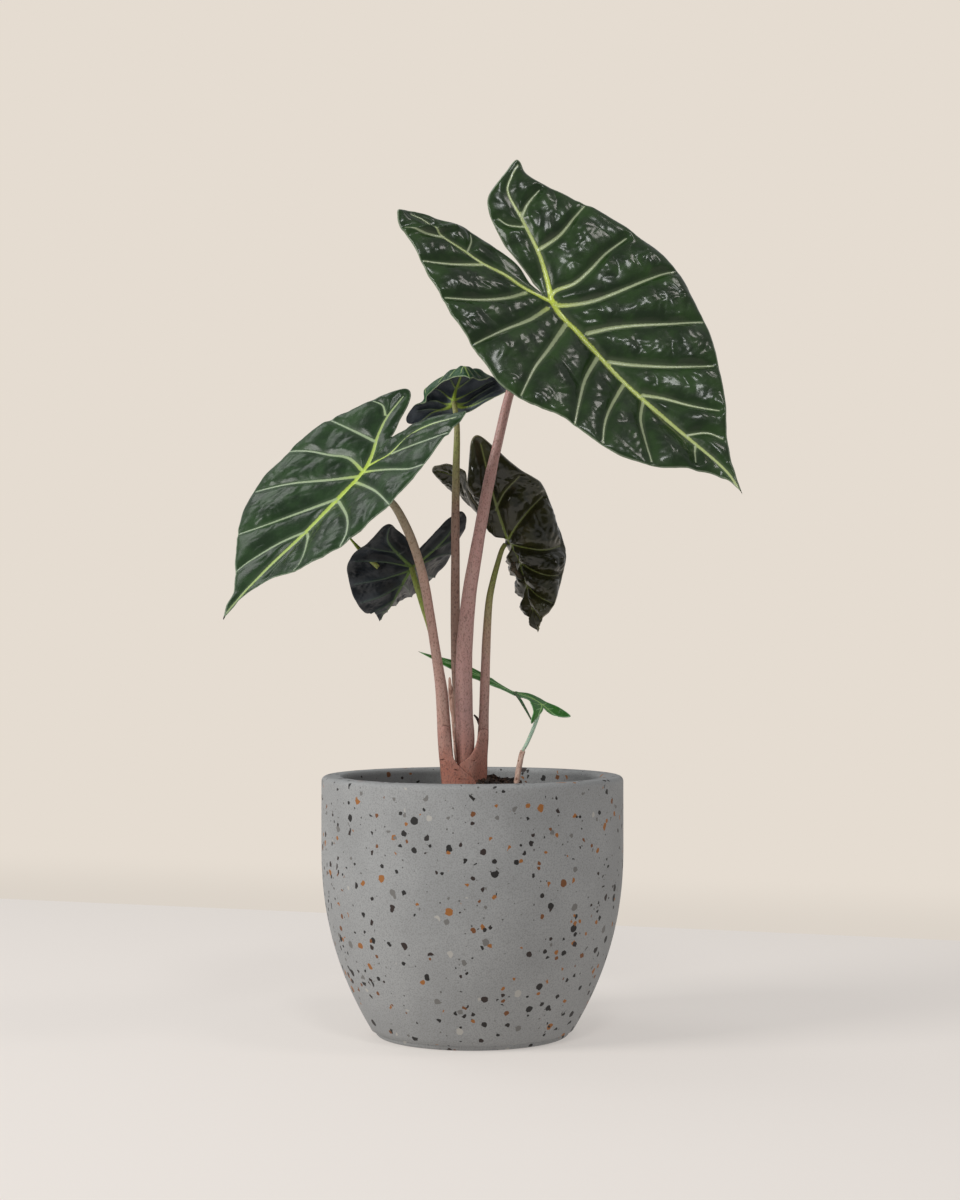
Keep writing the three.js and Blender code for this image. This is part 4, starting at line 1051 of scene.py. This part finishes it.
def soil_top(x, y):
    away = np.hypot(x - SOIL_HEAP[0], y - SOIL_HEAP[1])
    return SOIL_LEVEL + SOIL_MOUND * np.exp(-((away / SOIL_MOUND_SPREAD) ** 2))


def build_soil():
    sides = 280
    rim = POT_RIM_RADIUS - POT_WALL - SOIL_CLEARANCE
    angles = np.linspace(0, 2 * math.pi, sides, endpoint=False)
    radii = np.linspace(rim, 0.8, 84)
    points = []
    for z in np.linspace(POT_FLOOR + SOIL_CLEARANCE, SOIL_LEVEL - 3, 12):
        r = pot_radius(z) - POT_WALL - SOIL_CLEARANCE
        points += [(r * math.cos(a), r * math.sin(a), z) for a in angles]
    for r in radii:
        points += [(r * math.cos(a), r * math.sin(a), soil_top(r * math.cos(a), r * math.sin(a)))
                   for a in angles]
    points = np.array(points)
    loose = points[:, 2] > SOIL_LEVEL - 1
    rough = (
        1.0 * noise_at(points, 11, 21) + 0.9 * noise_at(points, 4, 22)
        + 0.6 * noise_at(points, 1.8, 23))
    points[:, 2] += np.where(loose, rough, 0)
    dark = potting_soil("moist_potting_soil", "#17100d", "#2b1e17")
    bark = potting_soil("bark_crumbs", "#1f1510", "#3c2a1f")
    piece = make_mesh("soil", points, tube_faces(12 + len(radii), sides), [dark])
    finish_piece(piece, "soil", "soil")

    ball = [(0, 0, 1), (0, 0, -1)]
    for k in range(5):
        turn = 2 * math.pi * k / 5
        for tilt, height in ((0, 0.447), (math.pi / 5, -0.447)):
            ball.append((0.894 * math.cos(turn + tilt), 0.894 * math.sin(turn + tilt), height))
    ball = np.array(ball)
    upper = [2 + 2 * k for k in range(5)]
    lower = [3 + 2 * k for k in range(5)]
    crumb_faces = []
    for k in range(5):
        m = (k + 1) % 5
        crumb_faces += [(0, upper[k], upper[m]), (1, lower[m], lower[k])]
        crumb_faces += [(upper[k], lower[k], upper[m]), (lower[k], lower[m], upper[m])]
    points = []
    faces = []
    for _ in range(1500):
        r = rim * math.sqrt(random.random()) - 2
        a = random.uniform(0, 2 * math.pi)
        size = random.choice((0.6, 0.8, 0.8, 1.1, 1.1, 1.5, 2.2))
        squash = np.array([random.uniform(0.7, 1.3), random.uniform(0.7, 1.3), random.uniform(0.5, 0.9)])
        spin = np.array(Matrix.Rotation(random.uniform(0, 6.3), 3, Vector((
            random.uniform(-1, 1), random.uniform(-1, 1), 0.5)).normalized()))
        jag = 1 + np.array([random.uniform(-0.28, 0.28) for _ in ball])[:, None]
        x = r * math.cos(a)
        y = r * math.sin(a)
        place = np.array([x, y, soil_top(x, y) + size * 0.35])
        start = len(points)
        points += (place + (ball * squash * jag * size) @ spin.T).tolist()
        faces += [tuple(start + k for k in face) for face in crumb_faces]
    piece = make_mesh("soil_crumbs", points, faces, [bark])
    piece.data.polygons.foreach_set("use_smooth", [False] * len(faces))
    finish_piece(piece, "soil")


def build_crown():
    """The crown is under the soil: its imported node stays, in the brown corky skin of old stem."""
    cork = papery_sheath("corky_crown", "#6f4c3a", "#573a2b", "#3a261c")
    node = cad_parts["crown"]
    node.data.materials.clear()
    node.data.materials.append(cork)


# ---- Studio ----------------------------------------------------------------------------------

def build_studio():
    """A pale floor sheet that ends in a slanting line behind the planter, on a warm ground that glows
    evenly but for a painted shade that dims it a little just behind the line, and runs on into the warm
    air behind, so that the plant can be seen from every side."""
    floor_look, _, _ = start_material(
        "pale_studio_floor", Base_Color=colour(FLOOR_COLOUR), Roughness=0.9, Specular_IOR_Level=0.2,
        Emission_Color=colour("#e8e2dd"), Emission_Strength=0.46)
    ground_look = bpy.data.materials.new("glowing_warm_ground_with_painted_shade")
    ground_look.use_nodes = True
    tree = ground_look.node_tree
    tree.nodes.clear()
    place = add(tree, "TexCoord").outputs["Object"]
    along = unit(SHEET_END_RIGHT - SHEET_END_LEFT)
    behind = np.array([-along[1], along[0], 0]) / METRES
    distance = add(tree, "VectorMath", {0: place, 1: tuple(behind)},
                   operation="DOT_PRODUCT").outputs["Value"]
    line = float(behind[:2] @ SHEET_END_LEFT) * METRES
    # Painted shade: the ground glows a little less just behind the sheet's end, fading out over 420 mm
    fading = ranged(tree, distance, line, line + 420, 0.91, 1.0)
    glow = add(tree, "Emission", {"Color": colour(AIR_COLOUR), "Strength": fading})
    add(tree, "OutputMaterial", {"Surface": glow.outputs[0]})
    reach = 9000
    near = [SHEET_END_LEFT - along * reach, SHEET_END_RIGHT + along * reach]
    sheet_corners = [(-reach, -reach, 0), (reach, -reach, 0), (*near[1], 0), (*near[0], 0)]
    floor = make_mesh("studio_floor", sheet_corners, [(0, 1, 2, 3)], [floor_look])
    far = [end + behind[:2] * METRES * reach for end in near]
    ground_corners = [(*near[0], 0), (*near[1], 0), (*far[1], 0), (*far[0], 0)]
    ground = make_mesh("studio_ground", ground_corners, [(0, 1, 2, 3)], [ground_look])


def add_light(name, place, target, size, power, tint):
    light = bpy.data.lights.new(name, "AREA")
    light.shape = "RECTANGLE"
    light.size, light.size_y = size
    light.energy = power
    light.color = colour(tint)[:3]
    lamp = bpy.data.objects.new(name, light)
    lamp.location = place
    lamp.rotation_euler = (Vector(target) - Vector(place)).to_track_quat("-Z", "Y").to_euler()
    bpy.context.scene.collection.objects.link(lamp)


def build_lights():
    scene = bpy.context.scene
    world = bpy.data.worlds.new("soft_studio_air")
    world.use_nodes = True
    tree = world.node_tree
    tree.nodes.clear()
    seen = add(tree, "LightPath").outputs["Is Camera Ray"]
    soft = add(tree, "Background", {"Color": colour("#ffffff"), "Strength": AIR_LIGHT})
    warm = add(tree, "Background", {"Color": colour(AIR_COLOUR), "Strength": 1.0})
    both = add(tree, "MixShader", {0: seen, 1: soft.outputs[0], 2: warm.outputs[0]})
    add(tree, "OutputWorld", {"Surface": both.outputs[0]})
    scene.world = world
    scene.view_settings.view_transform = "Standard"
    middle = (0, 0, 0.28)
    add_light("key_softbox", (-2.0, -1.0, 1.3), middle, (1.0, 1.0), 36, "#fffdfa")
    add_light("front_top_softbox", (0.15, -1.15, 1.6), middle, (0.3, 0.25), 4.5, "#ffffff")
    add_light("right_top_softbox", (0.8, -0.4, 1.8), middle, (0.3, 0.3), 3, "#fff8f4")
    add_light("back_top_softbox", (-0.8, 0.5, 1.5), middle, (0.7, 0.5), 2.5, "#ffffff")


def build_camera():
    """A portrait camera level with the petioles, 1.35 m in front of the plant, tipped up a little."""
    camera = bpy.data.cameras.new("portrait_camera")
    camera.sensor_fit = "VERTICAL"
    camera.sensor_height = 36
    camera.lens = 67.7
    camera.clip_end = 50
    holder = bpy.data.objects.new("portrait_camera", camera)
    holder.location = (0.0045, -1.35, 0.2375)
    holder.rotation_euler = (math.radians(90.9), 0, 0)
    bpy.context.scene.collection.objects.link(holder)
    bpy.context.scene.camera = holder


build_camera()
build_studio()
build_lights()
build_pot()
build_soil()
build_crown()
build_petioles()
build_blades()
